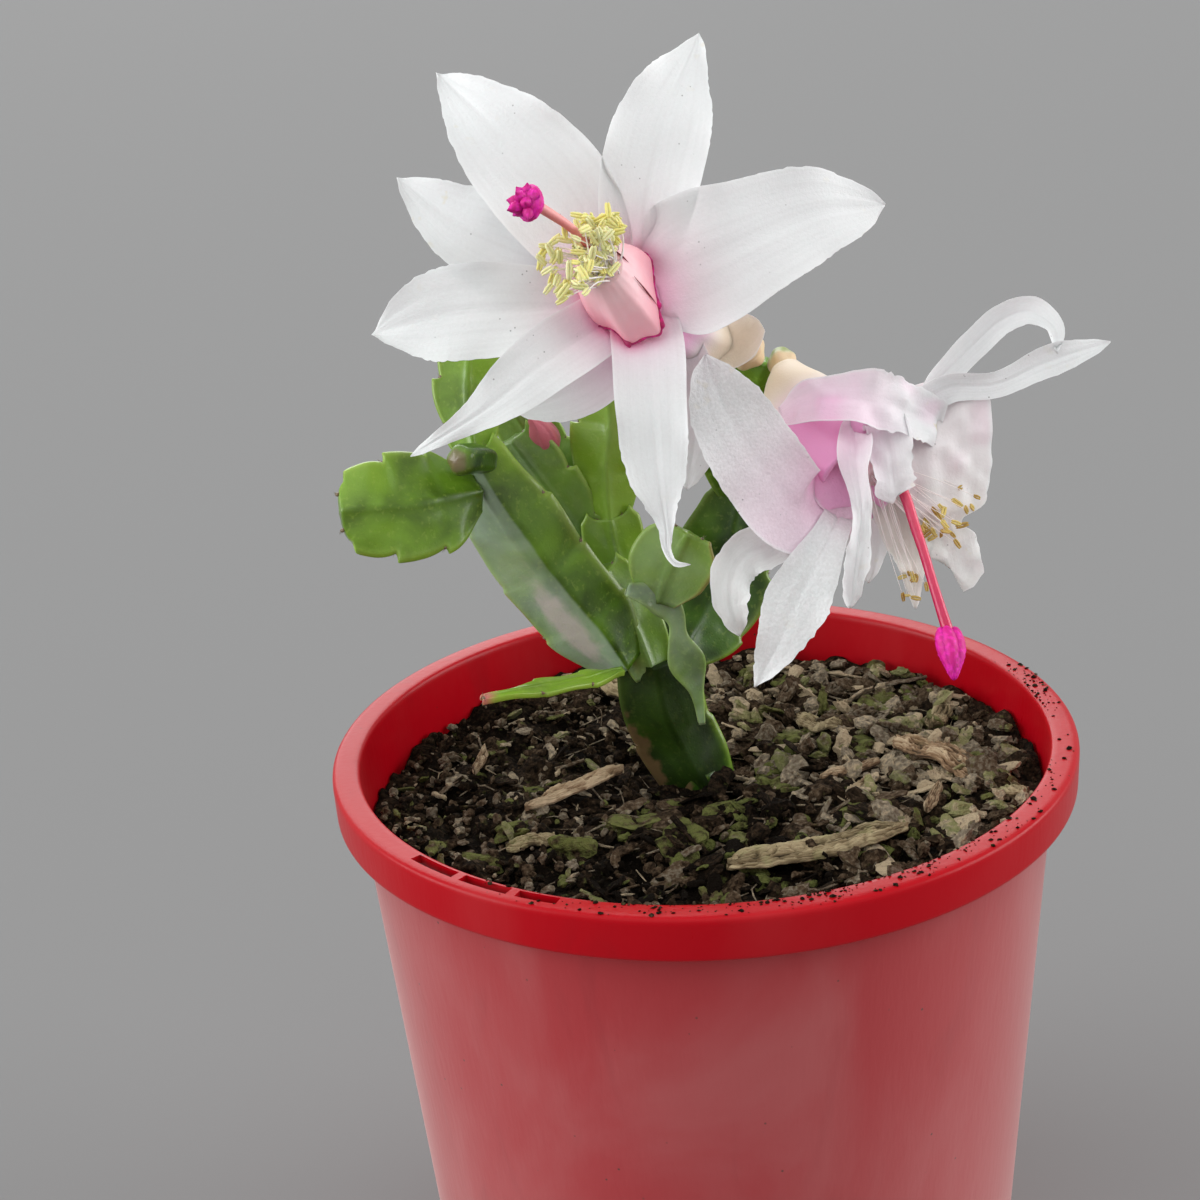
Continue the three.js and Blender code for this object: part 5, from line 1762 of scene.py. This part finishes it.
@dataclass
class Petal:
    """One petal: a thin cupped blade that ends in a point."""

    spine: Points
    widths: Numbers
    cup: float = 1.2
    face: Point = (0, 0, 1)
    twist: Numbers = (0,)
    blush: float = 0
    cream: float = 0
    crimp: float = 0.5
    jagged: float = 0.03
    tip: float = 0
    # How much painted frosty sheen the petal carries; it also roughens the relief.
    frost: float = 0.2
    creases: float = 0
    mottle: float = 0
    stained: float = 0
    slant: float = 0
    bites: Points = ()

    ROWS, COLUMNS = 68, 33

    def skin(self, seed: int, heart: Array, flush: float) -> Skin:
        """Makes the petal.

        Args:
            seed: Picks its small unevenness.
            heart: The middle of the bloom, from which the pink flush fades.
            flush: How far the flush reaches.

        Returns:
            The skin.
        """
        t = np.linspace(0, 1, self.ROWS) ** 0.93
        across = np.sin(np.linspace(-1, 1, self.COLUMNS) * np.pi / 2)
        spine = Spine(self.spine)
        centre, ahead, up, side = spine.stations(t, self.face, self.twist)
        size = np.abs(across)
        left, right = (line_lumps(t * spine.length, 0.8, seed + k)[:, None] for k in (0, 5))
        ragged = 1 + self.jagged * ease(t, 0.35, 0.8)[:, None] * np.where(across < 0, left, right)
        point = np.sqrt(np.clip((1 - t) / 0.05, 0.03, 1))
        half = np.maximum(follow(self.widths, t), 0.4)[:, None] * ragged * point[:, None]
        for at, hand, deep, long in self.bites:
            half = half - deep * bell((t - at) / long)[:, None] * (hand * across > 0)
        phase = 2 * np.pi * t[:, None] * spine.length / 13 + seed
        waves = self.crimp * np.sin(phase + across * 1.3) * size**2.5 * ease(t, 0.12, 0.5)[:, None]
        groove = -0.16 * bell(across / 0.10) + 0.06 * bell((size - 0.28) / 0.14)
        groove = groove * (ease(t, 0.02, 0.2) * ease(1 - t, 0.0, 0.15))[:, None]
        pleats = 0.02 * np.sin(across * 17 + seed + 2 * np.sin(5 * t[:, None])) * (1 - size**2)
        middle = centre[:, None] + pushed(side, half * across)
        middle += pushed(ahead, self.slant * across * ease(t, 0.7, 1)[:, None])
        soft = 0.35 * lumps(middle, 7.0, seed + 2)
        crumple = self.creases * lumps(middle, 2.6, seed + 8)
        lift = self.cup * half * across**2 / max(self.widths) + waves + groove + pleats + soft + crumple
        thickness = (0.16 + 0.34 * (1 - size**2)) * (0.45 + 0.55 * np.clip((1 - t) / 0.15, 0, 1))[:, None]
        a, b = crossed(t, across)
        tip = np.clip(self.tip + 0.25, 0, 1) * ease(a, 0.6, 0.95)
        values = {"along": a, "across": b, "edge": ease(np.abs(b), 0.9, 0.995), "tip": tip}
        skin = slab(middle, up, lift, thickness / 2, values)
        away = np.linalg.norm(skin.points - heart, axis=1)
        near = 0.75 * bell(away / flush) + self.blush * (1 - ease(skin.values["along"], 0.25, 0.85))
        near = near + self.stained + self.mottle * ease(lumps(skin.points, 4.5, seed + 9), 0.0, 0.8)
        return skin.say(blush=np.clip(near, 0, 1), frost=self.frost, cream=self.cream, kind=(seed % 11) / 11)


@dataclass
class Bloom:
    """One bloom with its ovary, tube, petals, stamens and pistil."""

    prefix: str
    place: Point
    ovary: Points
    ovary_radii: Numbers
    tube: Points
    tube_radii: Numbers
    throat: Points
    throat_radii: Numbers
    petals: Sequence[Petal]
    column: Points
    column_radii: Numbers
    thread_from: Point
    bunches: Sequence[tuple[Point, float, int]]
    anther_size: float
    thread_girth: float
    seed: int
    style: Points
    style_radii: Numbers
    stigma: Points
    stigma_radius: float
    stigma_lobes: int
    open_stigma: bool
    heart: Point
    flush: float
    cream_reach: float
    torn_ring: Points = ()
    slits: Sequence[tuple[Point, Point]] = ()

    TURN, TILT, ROLL = 2.85, 69.1, -3.95
    RING_HEIGHT, RING_LEAN = 0.8, (0.26, -0.12)
    TUBE_SIDES, TUBE_STEPS, THROAT_STEPS = 72, 40, 24
    COLUMN_SIDES, COLUMN_STEPS = 140, 40
    RING_SIDES, RING_STEPS = 8, 300

    def matrix(self) -> Matrix:
        """Gives the bloom's place and turn in the part."""
        turn, tilt, roll = (math.radians(angle) for angle in (self.TURN, self.TILT, self.ROLL))
        return Matrix.Translation(self.place) @ rotation(turn, 0, tilt) @ rotation(roll, 0, 0)

    def ovary_skin(self) -> Skin:
        """Makes the ovary, with five blunt ribs."""
        skin = rod(
            Spine(self.ovary), self.ovary_radii, 50, 30,
            lambda t, angle: 0.22 * np.cos(5 * angle) * np.sin(np.pi * t),
        )
        return skin.say(tint=ease(skin.values["along"], 0.1, 0.8))

    def style_skin(self) -> Skin:
        """Makes the style, with painted light and shade round its sides."""
        skin = rod(Spine(self.style), self.style_radii, 28, 60)
        along, turn = skin.values["along"], skin.values["turn"]
        # Painted highlight and shade: the turn term makes one side of the style lighter and the other darker.
        return skin.say(tint=0.1 + 0.7 * along + 0.35 * np.cos(2 * np.pi * turn))

    def tube_skin(self) -> Skin:
        """Makes the tube, open at its mouth, with the wall inside it down to the throat's floor."""
        sides, steps = self.TUBE_SIDES, self.TUBE_STEPS
        t = np.linspace(0, 1, steps)
        outer = Spine(self.tube)
        angle = turns(sides)
        centre, _, up, side = outer.stations(t, (0, 0, 1))
        ribs = 1 + 0.035 * np.cos(8 * angle) * ease(t, 0.1, 0.6)[:, None]
        radius = follow(self.tube_radii, t)[:, None] * ribs
        out = ringed(centre, side, up, radius, angle)
        lip = outer.at(np.ones(1))[0]
        down = np.linspace(0, 1, self.THROAT_STEPS)
        middle = Spine([lip, self.throat[0]]).at(down)
        narrow = np.interp(down, [0, 1], [self.tube_radii[-1] - 0.9, self.throat_radii[0]])
        inside = ringed(middle, side[-1:], up[-1:], narrow[:, None] * np.ones(sides), angle)
        rings = np.concatenate([out, inside])
        skin = wound(rings)
        count = len(rings)
        ring = np.concatenate([np.repeat(np.arange(count), sides), [0, count - 1]])
        within = ease(ring, steps + 0.5, steps + 5)
        away = np.linalg.norm(skin.points - np.asarray(self.heart, float), axis=1)
        grown = np.clip(ring / steps, 0, 1)
        cream = 1 - ease(grown, self.cream_reach - 0.15, self.cream_reach + 0.15)
        blush = ease(grown, self.cream_reach - 0.1, self.cream_reach + 0.35) + bell(away / 9)
        across = np.concatenate([np.tile(np.sin(angle), count), [0, 0]])
        skin.say(throat=within, blush=np.clip(blush, 0, 1), cream=cream * 0.85)
        return skin.say(across=across, along=grown, kind=0.4)

    def ring_path(self, count: int) -> Array:
        """Gives points on the torn ring round the foot of the column.

        Args:
            count: How many points.

        Returns:
            The points, in the bloom's own frame.
        """
        loop = [*self.torn_ring[-2:], *self.torn_ring, *self.torn_ring[:2]]
        inner = np.linspace(2 / (len(loop) - 1), 1 - 2 / (len(loop) - 1), count, endpoint=False)
        flat = np.stack([follow([corner[axis] for corner in loop], inner) for axis in (0, 1)], axis=-1)
        (u, v), (lean_u, lean_v) = flat.T, self.RING_LEAN
        return places(u, v, self.RING_HEIGHT + lean_u * u + lean_v * v)

    def ring_skin(self) -> list[Skin]:
        """Makes the torn crimson ring round the foot of the column."""
        if not self.torn_ring:
            return []
        angle = turns(self.RING_SIDES)
        centre = self.ring_path(self.RING_STEPS)
        centre += 0.16 * np.stack([lumps(centre, 0.7, seed) for seed in (4, 5, 6)], axis=-1)
        outward = unit(centre - centre.mean(axis=0))
        girth = 0.24 + 0.55 * ease(lumps(centre, 1.5, 7), 0.1, 0.8)
        rings = centre[:, None] + pushed(outward, girth[:, None] * np.cos(angle))
        rings[..., 2] += girth[:, None] * 0.7 * np.sin(angle)
        return [wound(rings, looped=True).say(throat=1, blush=1, torn=0.8)]

    def petal_skins(self) -> Skin:
        """Makes the tube with all its petals."""
        heart = np.asarray(self.heart, float)
        skins = [p.skin(self.seed * 20 + k, heart, self.flush) for k, p in enumerate(self.petals)]
        if self.torn_ring:
            path = self.ring_path(90)
            for skin in skins:
                away = np.min(np.linalg.norm(skin.points[:, None] - path[None], axis=2), axis=1)
                skin.say(throat=0.7 * bell(away / 1.4))
        return Skin.join([self.tube_skin(), *self.ring_skin(), *skins])

    def column_skin(self) -> Skin:
        """Makes the column of fused filaments."""
        if not self.torn_ring:
            skin = rod(Spine(self.column), self.column_radii, 90, 40)
            return skin.say(tint=0.36 + 0.25 * skin.values["along"])
        foot = self.ring_path(self.COLUMN_SIDES)
        top = Spine(self.column).at(np.ones(1))[0]
        angle = np.arctan2(*(foot - foot.mean(axis=0)).T[1::-1])
        cos, sin, (lean_u, lean_v) = np.cos(angle), np.sin(angle), self.RING_LEAN
        crown = top + self.column_radii[-1] * places(cos, sin, lean_u * cos + lean_v * sin)
        share = np.linspace(0, 1, self.COLUMN_STEPS)[:, None, None]
        swell = 1 + 0.12 * np.sin(np.pi * share) + 0.006 * np.sin(23 * angle)[None, :, None] * share
        middle = foot.mean(axis=0) * (1 - share) + top * share
        rings = middle + ((foot * (1 - share) + crown * share) - middle) * swell
        sunk = foot - np.array([0.4, -0.2, 3.0])
        skin = wound(np.concatenate([sunk[None], rings]))
        grown = ease(skin.points[:, 2], 0, top[2])
        return skin.say(tint=0.05 + 0.36 * grown)

    def slit_skins(self, column: Skin) -> list[Skin]:
        """Makes the slits along the column as thin dark rods that paint the shade in its gaps.

        Args:
            column: What they lie on.

        Returns:
            A skin for each slit.
        """
        slits = []
        for start, end in self.slits:
            path = []
            for spot in np.linspace(start, end, 7):
                away = np.linalg.norm(column.points[:, :2] - spot, axis=1)
                near = column.points[np.argsort(away)[:6]]
                path.append((*spot, near[:, 2].max() + 0.02))
            slits.append(rod(Spine(path), [0.03, 0.09, 0.13, 0.1, 0.03], 8, 30).say(slit=1))
        return slits

    def threads(self) -> tuple[Skin, Skin]:
        """Makes the loose filaments and the anthers at their ends."""
        draw = np.random.default_rng(self.seed)
        root = np.asarray(self.thread_from, float)
        filaments, anthers = [], []
        for middle, fan, count in self.bunches:
            axis = unit(np.asarray(middle, float) - root)
            right = unit(np.cross((0, 1, 0), axis))
            up = np.cross(axis, right)
            for k in range(count):
                angle, reach = k * GOLDEN_ANGLE, math.sqrt(0.1 + 0.9 * (k + 0.5) / count)
                across = right * math.cos(angle) + up * math.sin(angle)
                start = root + across * 0.75 * reach * self.column_radii[-1] - axis * 1.5
                end = middle + across * reach * fan
                end = end + axis * 4 * (draw.random() - 0.5) + 0.4 * draw.normal(size=3)
                bend = (start + end) / 2 + axis * 1.2 + 0.45 * draw.normal(size=3)
                radii = [1.2 * self.thread_girth, self.thread_girth, 0.7 * self.thread_girth]
                filaments.append(rod(Spine([start, bend, end]), radii, 6, 9).say(tint=1.1))
                lean = axis * 0.4 + across * 0.9 * (draw.random() - 0.2) + 0.8 * draw.normal(size=3)
                half = self.anther_size * (0.8 + 0.4 * draw.random())
                anthers.append(self._anther(end, unit(lean + DROOP), half, k).say(tint=draw.random()))
        return Skin.join(filaments), Skin.join(anthers)

    @staticmethod
    def _anther(middle: Array, lean: Array, half: float, seed: int) -> Skin:
        """Makes one anther: two pollen sacs side by side.

        Args:
            middle: Its middle.
            lean: The way that it points.
            half: Half its length.
            seed: Picks its grains.

        Returns:
            A skin of the two sacs.
        """

        def grains(t: Array, angle: Array) -> Array:
            """Gives a sac its grains."""
            return 0.04 * lumps(places(t * 7, np.cos(angle), np.sin(angle)), 0.45, seed)

        side = unit(np.cross(lean, (0.3, 0.2, 1)))
        sacs = []
        for sign in (-1, 1):
            at = middle + side * sign * 0.13 * half
            spine = Spine([at - lean * half, at + side * sign * 0.1, at + lean * half])
            sacs.append(rod(spine, [0.15 * half, 0.19 * half, 0.13 * half], 9, 10, grains, rounded=True))
        return Skin.join(sacs)

    def stigma_skin(self) -> Skin:
        """Makes the lobed head of the pistil, with its fine warts."""
        neck, belly, tip = (np.asarray(p, float) for p in self.stigma)
        axis = unit(tip - neck)
        across = unit(np.cross((0, 0, 1), axis))
        other = np.cross(axis, across)
        draw = np.random.default_rng(self.seed + 3)
        size = self.stigma_radius
        skins = []
        for k in range(self.stigma_lobes):
            angle = 2 * np.pi * (k + 0.4 * draw.random()) / self.stigma_lobes
            out = across * math.cos(angle) + other * math.sin(angle)
            if self.open_stigma:
                polar = (0.45, 1.3, 0.9, 1.6)[k % 4]
                out = unit(axis * math.cos(polar) + out * math.sin(polar))
                far = size * (1.12 + 0.42 * draw.random() ** 2)
                path = [belly + out * 0.45 * size, belly + out * 0.9 * size, belly + out * far]
                radii = [0.36 * size, 0.32 * size, 0.1]
            else:
                path = [neck + out * size * 0.5, belly + out * size * 0.42, tip + out * 0.1]
                radii = [0.75, 1.25, 0.85, 0.2]
            skins.append(rod(Spine(path), radii, 30, 40, self._warts(k), rounded=True))
        path, radii = [neck, belly, tip], [0.9, 0.62 * size, 0.7]
        if self.open_stigma:
            path = [belly + axis * share * size for share in (-1, -0.3, 0.8)]
            radii = [0.5 * size, 1.02 * size, 1.0 * size, 0.4 * size]
        skins.append(rod(Spine(path), radii, 48, 40, self._warts(31), rounded=True))
        skin = Skin.join(skins)
        return skin.say(tint=ease(lumps(skin.points, 0.5, 8), -0.5, 0.9))

    @staticmethod
    def _warts(seed: int) -> Relief:
        """Gives a relief of fine round warts."""
        return lambda t, angle: 0.10 * np.sin(t * 95 + seed) * np.sin(angle * 11 + 2.6 * np.sin(t * 40))

    def build(self, wardrobe: Wardrobe, style_finish: Material, pollen: Material) -> None:
        """Makes the bloom's pieces.

        Args:
            wardrobe: The materials that both blooms share.
            style_finish: The finish of its style.
            pollen: The finish of its anthers.
        """
        at = self.matrix()
        filaments, anthers = self.threads()
        column = self.column_skin()
        column = Skin.join([column, *self.slit_skins(column), filaments])
        for piece, skin, finish, slot, node in (
            ("ovary_flesh", self.ovary_skin(), wardrobe.ovary, Slot.OVARY, "ovary"),
            ("corolla", self.petal_skins(), wardrobe.petal, Slot.PETAL, "petals"),
            ("filaments", column, wardrobe.column, Slot.STAMEN, "stamens"),
            ("anthers", anthers, pollen, Slot.STAMEN, "stamens"),
            ("style", self.style_skin(), style_finish, Slot.PISTIL, "pistil"),
            ("stigma", self.stigma_skin(), wardrobe.crown, Slot.PISTIL, "pistil"),
        ):
            hang(f"{self.prefix}_{piece}", skin.moved(at), finish, [f"{self.prefix}_{node}"])


# The open bloom that faces the viewer.
FRONT_BLOOM = Bloom(
    prefix="front_bloom", place=(-8.1, -8.8, 202.4),
    ovary=[(21.2, -5.2, -31.4), (20.9, -5.1, -27.6), (20.5, -4.8, -24)], ovary_radii=[2, 3.2, 2.6],
    tube=[(20.8, -4.8, -25), (14, -4.5, -18), (6.5, -2, -9), (0.4, 0, -2.4)], tube_radii=[2.4, 4.8, 6, 4.4],
    throat=[(4.6, -1.4, -7), (0.6, 0, -1.4), (-2.8, 2.2, 5)], throat_radii=[3.6, 5.7, 5.2],
    petals=[
        Petal(
            [(-3, 3.5, -2), (-11, 15, 3), (-21, 26, 3), (-30.5, 36.5, -3)], [5, 8.2, 9.4, 8.2, 5, 0.5], 2,
            tip=0.5,
        ),
        Petal([(2, 5, -2), (3.2, 17, 3), (6.4, 29.5, 2), (11.5, 43, -4)], [5, 7.2, 8, 7.3, 4.2, 0.5], 2),
        Petal(
            [(3, 2, -2), (15, 6.8, 4), (29.2, 12.8, 3), (41, 15, -2)],
            [6, 10.6, 11, 9.6, 8.6, 7.2, 4.8, 1.2], 1.5,
        ),
        Petal(
            [(-1.5, 0.6, -4), (-7, 4, -2.6), (-16, 7.6, -1), (-27, 12.3, -1), (-37, 20, -4)],
            [3.4, 5.6, 8, 7.4, 4.6, 0.6], 1.5, tip=0.8,
        ),
        Petal([(-5, -1, -1), (-15, -2, 2), (-28, -2.8, 1), (-41, -5.3, -3)], [4, 6.5, 7.6, 6.6, 0.6], 1.5),
        Petal(
            [(-4, -4, 0), (-13, -10.5, 4), (-23.4, -18.8, 4), (-34.5, -25.2, 1)], [5, 5.3, 4.4, 1.9, 0.5],
            1,
        ),
        Petal(
            [(2.4, -2, -2), (3.2, -9, 2), (3.5, -17, 4), (4.6, -29, 4), (5.9, -36.6, 3.6), (6.2, -40.3, 3),
             (7.4, -42.2, 2.8), (9.8, -42.4, 2.6)],
            [5, 5.7, 5.8, 5.7, 5.5, 5.2, 4.0, 1.7, 0.7, 0.4], jagged=0.09,
        ),
        Petal([(2, -4, -5), (-7, -13, -6), (-18, -17.5, -7)], [4, 5, 5, 4, 1], blush=0.25),
        Petal([(7, -4, -9), (11, -18.4, -12.6), (10, -29.6, -14)], [4, 5, 5, 4, 1], blush=0.15),
        Petal([(12, -7, -14), (17.4, -6, -15), (21.8, -1.5, -14)], [3.2, 3.4, 3.4, 2], cream=0.9),
    ],
    column=[(3.2, -1, -5), (0, 0.3, 0), (-2.8, 2.2, 5), (-4.6, 3.8, 9)], column_radii=[3, 6.7, 6.0, 3.6],
    thread_from=(-4, 3.4, 8),
    bunches=[((-4.8, 8.2, 12.5), 3.9, 60), ((-9.6, 2.6, 14), 5, 38), ((-5, 4.6, 11.6), 3.4, 34)],
    anther_size=1.3, thread_girth=0.13, seed=5,
    style=[(3.4, -1.2, -6.2), (0, 0.3, 0), (-3.4, 3.2, 7), (-8, 7.6, 15.6), (-13.8, 10.5, 22)],
    style_radii=[0.6, 0.6, 0.6, 0.65, 0.8], stigma=[(-12.2, 10, 20.6), (-15, 10.6, 23), (-18, 10.4, 24.4)],
    stigma_radius=2.6, stigma_lobes=11, open_stigma=True, heart=(-0.5, 0, 0), flush=9.6, cream_reach=0.5,
    torn_ring=[(2, 7.2), (3.7, 5.8), (4.1, 2.1), (4.7, -1.5), (5.1, -5.7), (2.7, -6.6), (0.2, -7.4),
     (-2.3, -5.2), (-5.1, -4.1), (-6.5, -1.5), (-6.6, 2.2), (-4.4, 5.6), (-1.2, 7.6)],
    slits=[((0.9, 2.1), (4.5, -1.5)), ((-2.4, 6.1), (0, 4.2))],
)


# The lower bloom, which hangs to the right.
SIDE_BLOOM = Bloom(
    prefix="side_bloom", place=(27.4, -1.9, 171),
    ovary=[(-10.6, 20, -15.4), (-10.4, 18.4, -14), (-10, 16.6, -12)], ovary_radii=[1.6, 2.5, 2.2],
    tube=[(-10, 17, -12.2), (-8.6, 12.5, -9.5), (-4, 5, -6), (0.6, -0.6, -2.6)],
    tube_radii=[2.6, 6.8, 6.9, 7.0], throat=[(-5, 6, -7.5), (-0.4, 0.4, -3.6), (5, -4.4, 4)],
    throat_radii=[3.4, 5.4, 5.4],
    petals=[
        Petal(
            [(2, 2, -5), (7, 7, -5), (12, 11, -5), (16.7, 15.8, -5), (21, 20, -5), (25.6, 24.2, -4),
             (30, 25.4, -2), (33.6, 22.6, 0), (34, 18, 1)],
            [2.5, 2.8, 2.6, 2.5, 2.5, 2.2, 0.7], twist=[60, 75, 60, 30, 0, 0, 0, 0, 10],
        ),
        Petal(
            [(2.5, 2.5, -4), (9, 8, -2.5), (16, 12.5, -2), (24, 13, -1), (32, 16.5, 0), (43, 20, 0)],
            [2.8, 2.8, 2.4, 2.2, 2.6, 0.6], twist=[30, 20, 10, 0, 0],
        ),
        Petal(
            [(11.6, 13.4, -4), (13, 8, -2), (14.6, 1, -1.6), (15.8, -6, -2), (16.2, -12.4, -2.6),
             (17.6, -18.6, -4)],
            [9, 10.8, 10.2, 9.4, 8.4, 6.9, 5.6, 5.2, 4.6], face=(0.15, 0.1, 1), jagged=0.05, tip=0.5,
            blush=0.12, creases=0.9, mottle=0.16, slant=-3.2, bites=[(0.72, -1, 3.2, 0.05)], cream=0.12,
        ),
        Petal(
            [(-12, 7.6, 0), (-7.4, 9.4, 4.4), (-1, 10, 6), (5.4, 9.2, 4.6), (10.6, 7.6, 1.6),
             (15, 5.6, -2.2)],
            [1.6, 3.4, 4.2, 4.6, 4.8, 4.6, 3.4], face=(0, 0.25, 1), blush=0.34, creases=0.75, crimp=0.9,
            jagged=0.09, tip=0.4, mottle=0.3,
        ),
        Petal(
            [(1, 5.5, -3), (0, 4.4, 3), (0, -1.6, 7), (0.6, -8.2, 8), (-0.6, -16.5, 8), (-1.3, -24.3, 7)],
            [1.4, 2.4, 2.9, 2.2, 1.6, 1.9, 1.9, 1.5], twist=[0, 0, 30, 0, -20, 0], jagged=0.1, crimp=0.7,
            creases=0.3,
        ),
        Petal(
            [(-1, -3, -7), (-1.6, -7.5, -3), (-3.4, -11, 2), (-6.6, -17, 5), (-10.3, -24, 6),
             (-13.3, -31, 6), (-16.7, -37.3, 5)],
            [3, 2.6, 3, 4.6, 5.4, 3.4, 0.5], jagged=0.09, frost=0.9,
        ),
        Petal([(-6, 5, -4), (-1, -1, -7), (3, -10, -8), (3.5, -20, -6)], [5, 6.5, 5.6, 4, 1], blush=0.3),
        Petal(
            [(3, 6, -4), (5, 6.4, 1.6), (5.8, 0.3, 5), (6.4, -6.4, 6)], [3, 3.4, 3.5, 3.4, 3.2],
            jagged=0.12, creases=0.7, crimp=0.8, slant=0.8,
        ),
        Petal(
            [(-1, -3, -6), (-6, -8.5, -1.5), (-13.6, -13.4, 2), (-18.9, -16.3, 3), (-20.7, -21.8, 4),
             (-18.9, -28.9, 3)],
            [3, 3, 3.7, 3.9, 3.2, 1.2], crimp=0.9, jagged=0.1, creases=0.4, cream=0.06,
        ),
        Petal(
            [(1, -1.5, -5), (-3.8, -7, -0.5), (-9.8, -8, 4.5), (-15.2, -2, 7), (-20, 5.2, 8.6),
             (-23.4, 12, 9.4), (-24.9, 16.8, 9.2)],
            [4.5, 6.2, 7.4, 7.4, 7.2, 5.8, 1.6], blush=0.4, frost=1,
        ),
        Petal(
            [(3, 4, -6), (5.5, 2, -4.6), (8.4, -5, -3.4), (10, -14, -3), (11, -24.4, -3)],
            [3, 5.6, 6, 5.4, 4, 1.8, 0.4], face=(0.1, 0.2, 1), creases=0.4, jagged=0.1, cream=0.34, tip=1,
        ),
        Petal(
            [(-9, 9, -5), (-6, 5.5, -2.6), (-3, 1, -1.4), (0, -4.5, -1.4), (0.6, -10, -3)],
            [4, 6, 7, 6.6, 4], cup=2.4, face=(0.1, 0.1, 1), stained=1, creases=0.25,
        ),
    ],
    column=[(-3.6, 4.6, -6.4), (0.4, 1, -3.4), (4.4, -1.8, 0)], column_radii=[2.8, 3.2, 2.4],
    thread_from=(3.8, -1.4, -0.4),
    bunches=[((13.2, -10.4, 2), 3.2, 14), ((17.2, -9.4, 0.6), 5.6, 13), ((9.7, -20.4, -0.6), 2.2, 10)],
    anther_size=1.05, thread_girth=0.06, seed=9,
    style=[(-3.8, 4.8, -6.4), (0.4, 1, -3.4), (6.6, -2.6, 2.6), (10, -12.6, 6.6), (12.1, -21, 9.6),
     (14, -28.2, 11.8)],
    style_radii=[0.8, 0.8, 0.9, 0.85, 0.8, 0.95],
    stigma=[(13.7, -27.4, 11.4), (14.4, -31.8, 12.8), (14.6, -35.8, 13.8)], stigma_radius=2.5,
    stigma_lobes=5, open_stigma=False, heart=(-3, 1, 0), flush=7.6, cream_reach=0.34,
)


# ---- The studio ----
@dataclass
class Studio:
    """The camera, the floor and the lights."""

    eye: Point = (0, -0.32664, 0.27268)
    look: Point = (-0.0465, 0.9333, -0.3562)
    roll: float = -3.96
    lens: float = 60.82
    near: float = 0.01
    floor_size: float = 60
    daylight: float = 0.60

    def camera(self) -> None:
        """Sets up the camera."""
        data = bpy.data.cameras.new("camera")
        data.lens = self.lens
        data.clip_start = self.near
        camera = stood("camera", data)
        camera.location = self.eye
        level = Vector(self.look).to_track_quat("-Z", "Y").to_matrix()
        camera.rotation_euler = (level @ Matrix.Rotation(math.radians(self.roll), 3, "Z")).to_euler()
        bpy.context.scene.camera = camera

    def floor(self) -> None:
        """Lays the floor."""
        mesh = bpy.data.meshes.new("floor")
        half = self.floor_size / 2
        corners = [(-half, -half, 0), (half, -half, 0), (half, half, 0), (-half, half, 0)]
        mesh.from_pydata(corners, [], [(0, 1, 2, 3)])
        mesh.materials.append(FloorFinish().material())
        stood("floor", mesh)

    def light(
        self, name: str, source: Point, power: float, spread_by: float, colour: Point = (1, 1, 1)
    ) -> None:
        """Hangs a far, broad light, which falls on plant and floor alike.

        Args:
            name: Its name.
            source: The way that it comes from.
            power: Its strength, in watts a square metre.
            spread_by: How broad it looks from the plant, in degrees.
            colour: Its colour.
        """
        data = bpy.data.lights.new(name, "SUN")
        data.energy, data.angle, data.color = power, math.radians(spread_by), colour
        stood(name, data).rotation_euler = Vector(source).to_track_quat("Z", "Y").to_euler()

    def build(self) -> None:
        """Sets up the whole studio."""
        self.camera()
        self.floor()
        self.light("key_window", (-0.35, -0.55, 1), 0.8, 80)
        self.light("left_window", (-1, -0.2, 0.25), 2.1, 45, (0.97, 0.99, 1))
        self.light("right_window", (1, 0.05, 0.25), 2.2, 45)
        self.light("back_window", (-0.17, 0.87, 0.5), 1.2, 45)
        world = bpy.data.worlds.new("studio")
        world.use_nodes = True
        background = world.node_tree.nodes["Background"]
        background.inputs["Color"].default_value = (1, 1, 1, 1)
        background.inputs["Strength"].default_value = self.daylight
        bpy.context.scene.world = world
        bpy.context.scene.view_settings.view_transform = "Standard"


def main() -> None:
    """Builds the part's looks, piece by piece."""
    logging.basicConfig(level=logging.INFO, format="%(name)s %(message)s")
    Studio().build()
    wardrobe = Wardrobe()
    Pot().build(wardrobe)
    Ground().build(wardrobe)
    for seed, litter in enumerate(LITTER):
        litter.build(wardrobe, 17 * seed + 3)
    Stems().build(wardrobe)
    FRONT_BLOOM.build(wardrobe, wardrobe.salmon, wardrobe.pollen)
    SIDE_BLOOM.build(wardrobe, wardrobe.crimson, wardrobe.old_pollen)


if __name__ == "__main__":
    main()
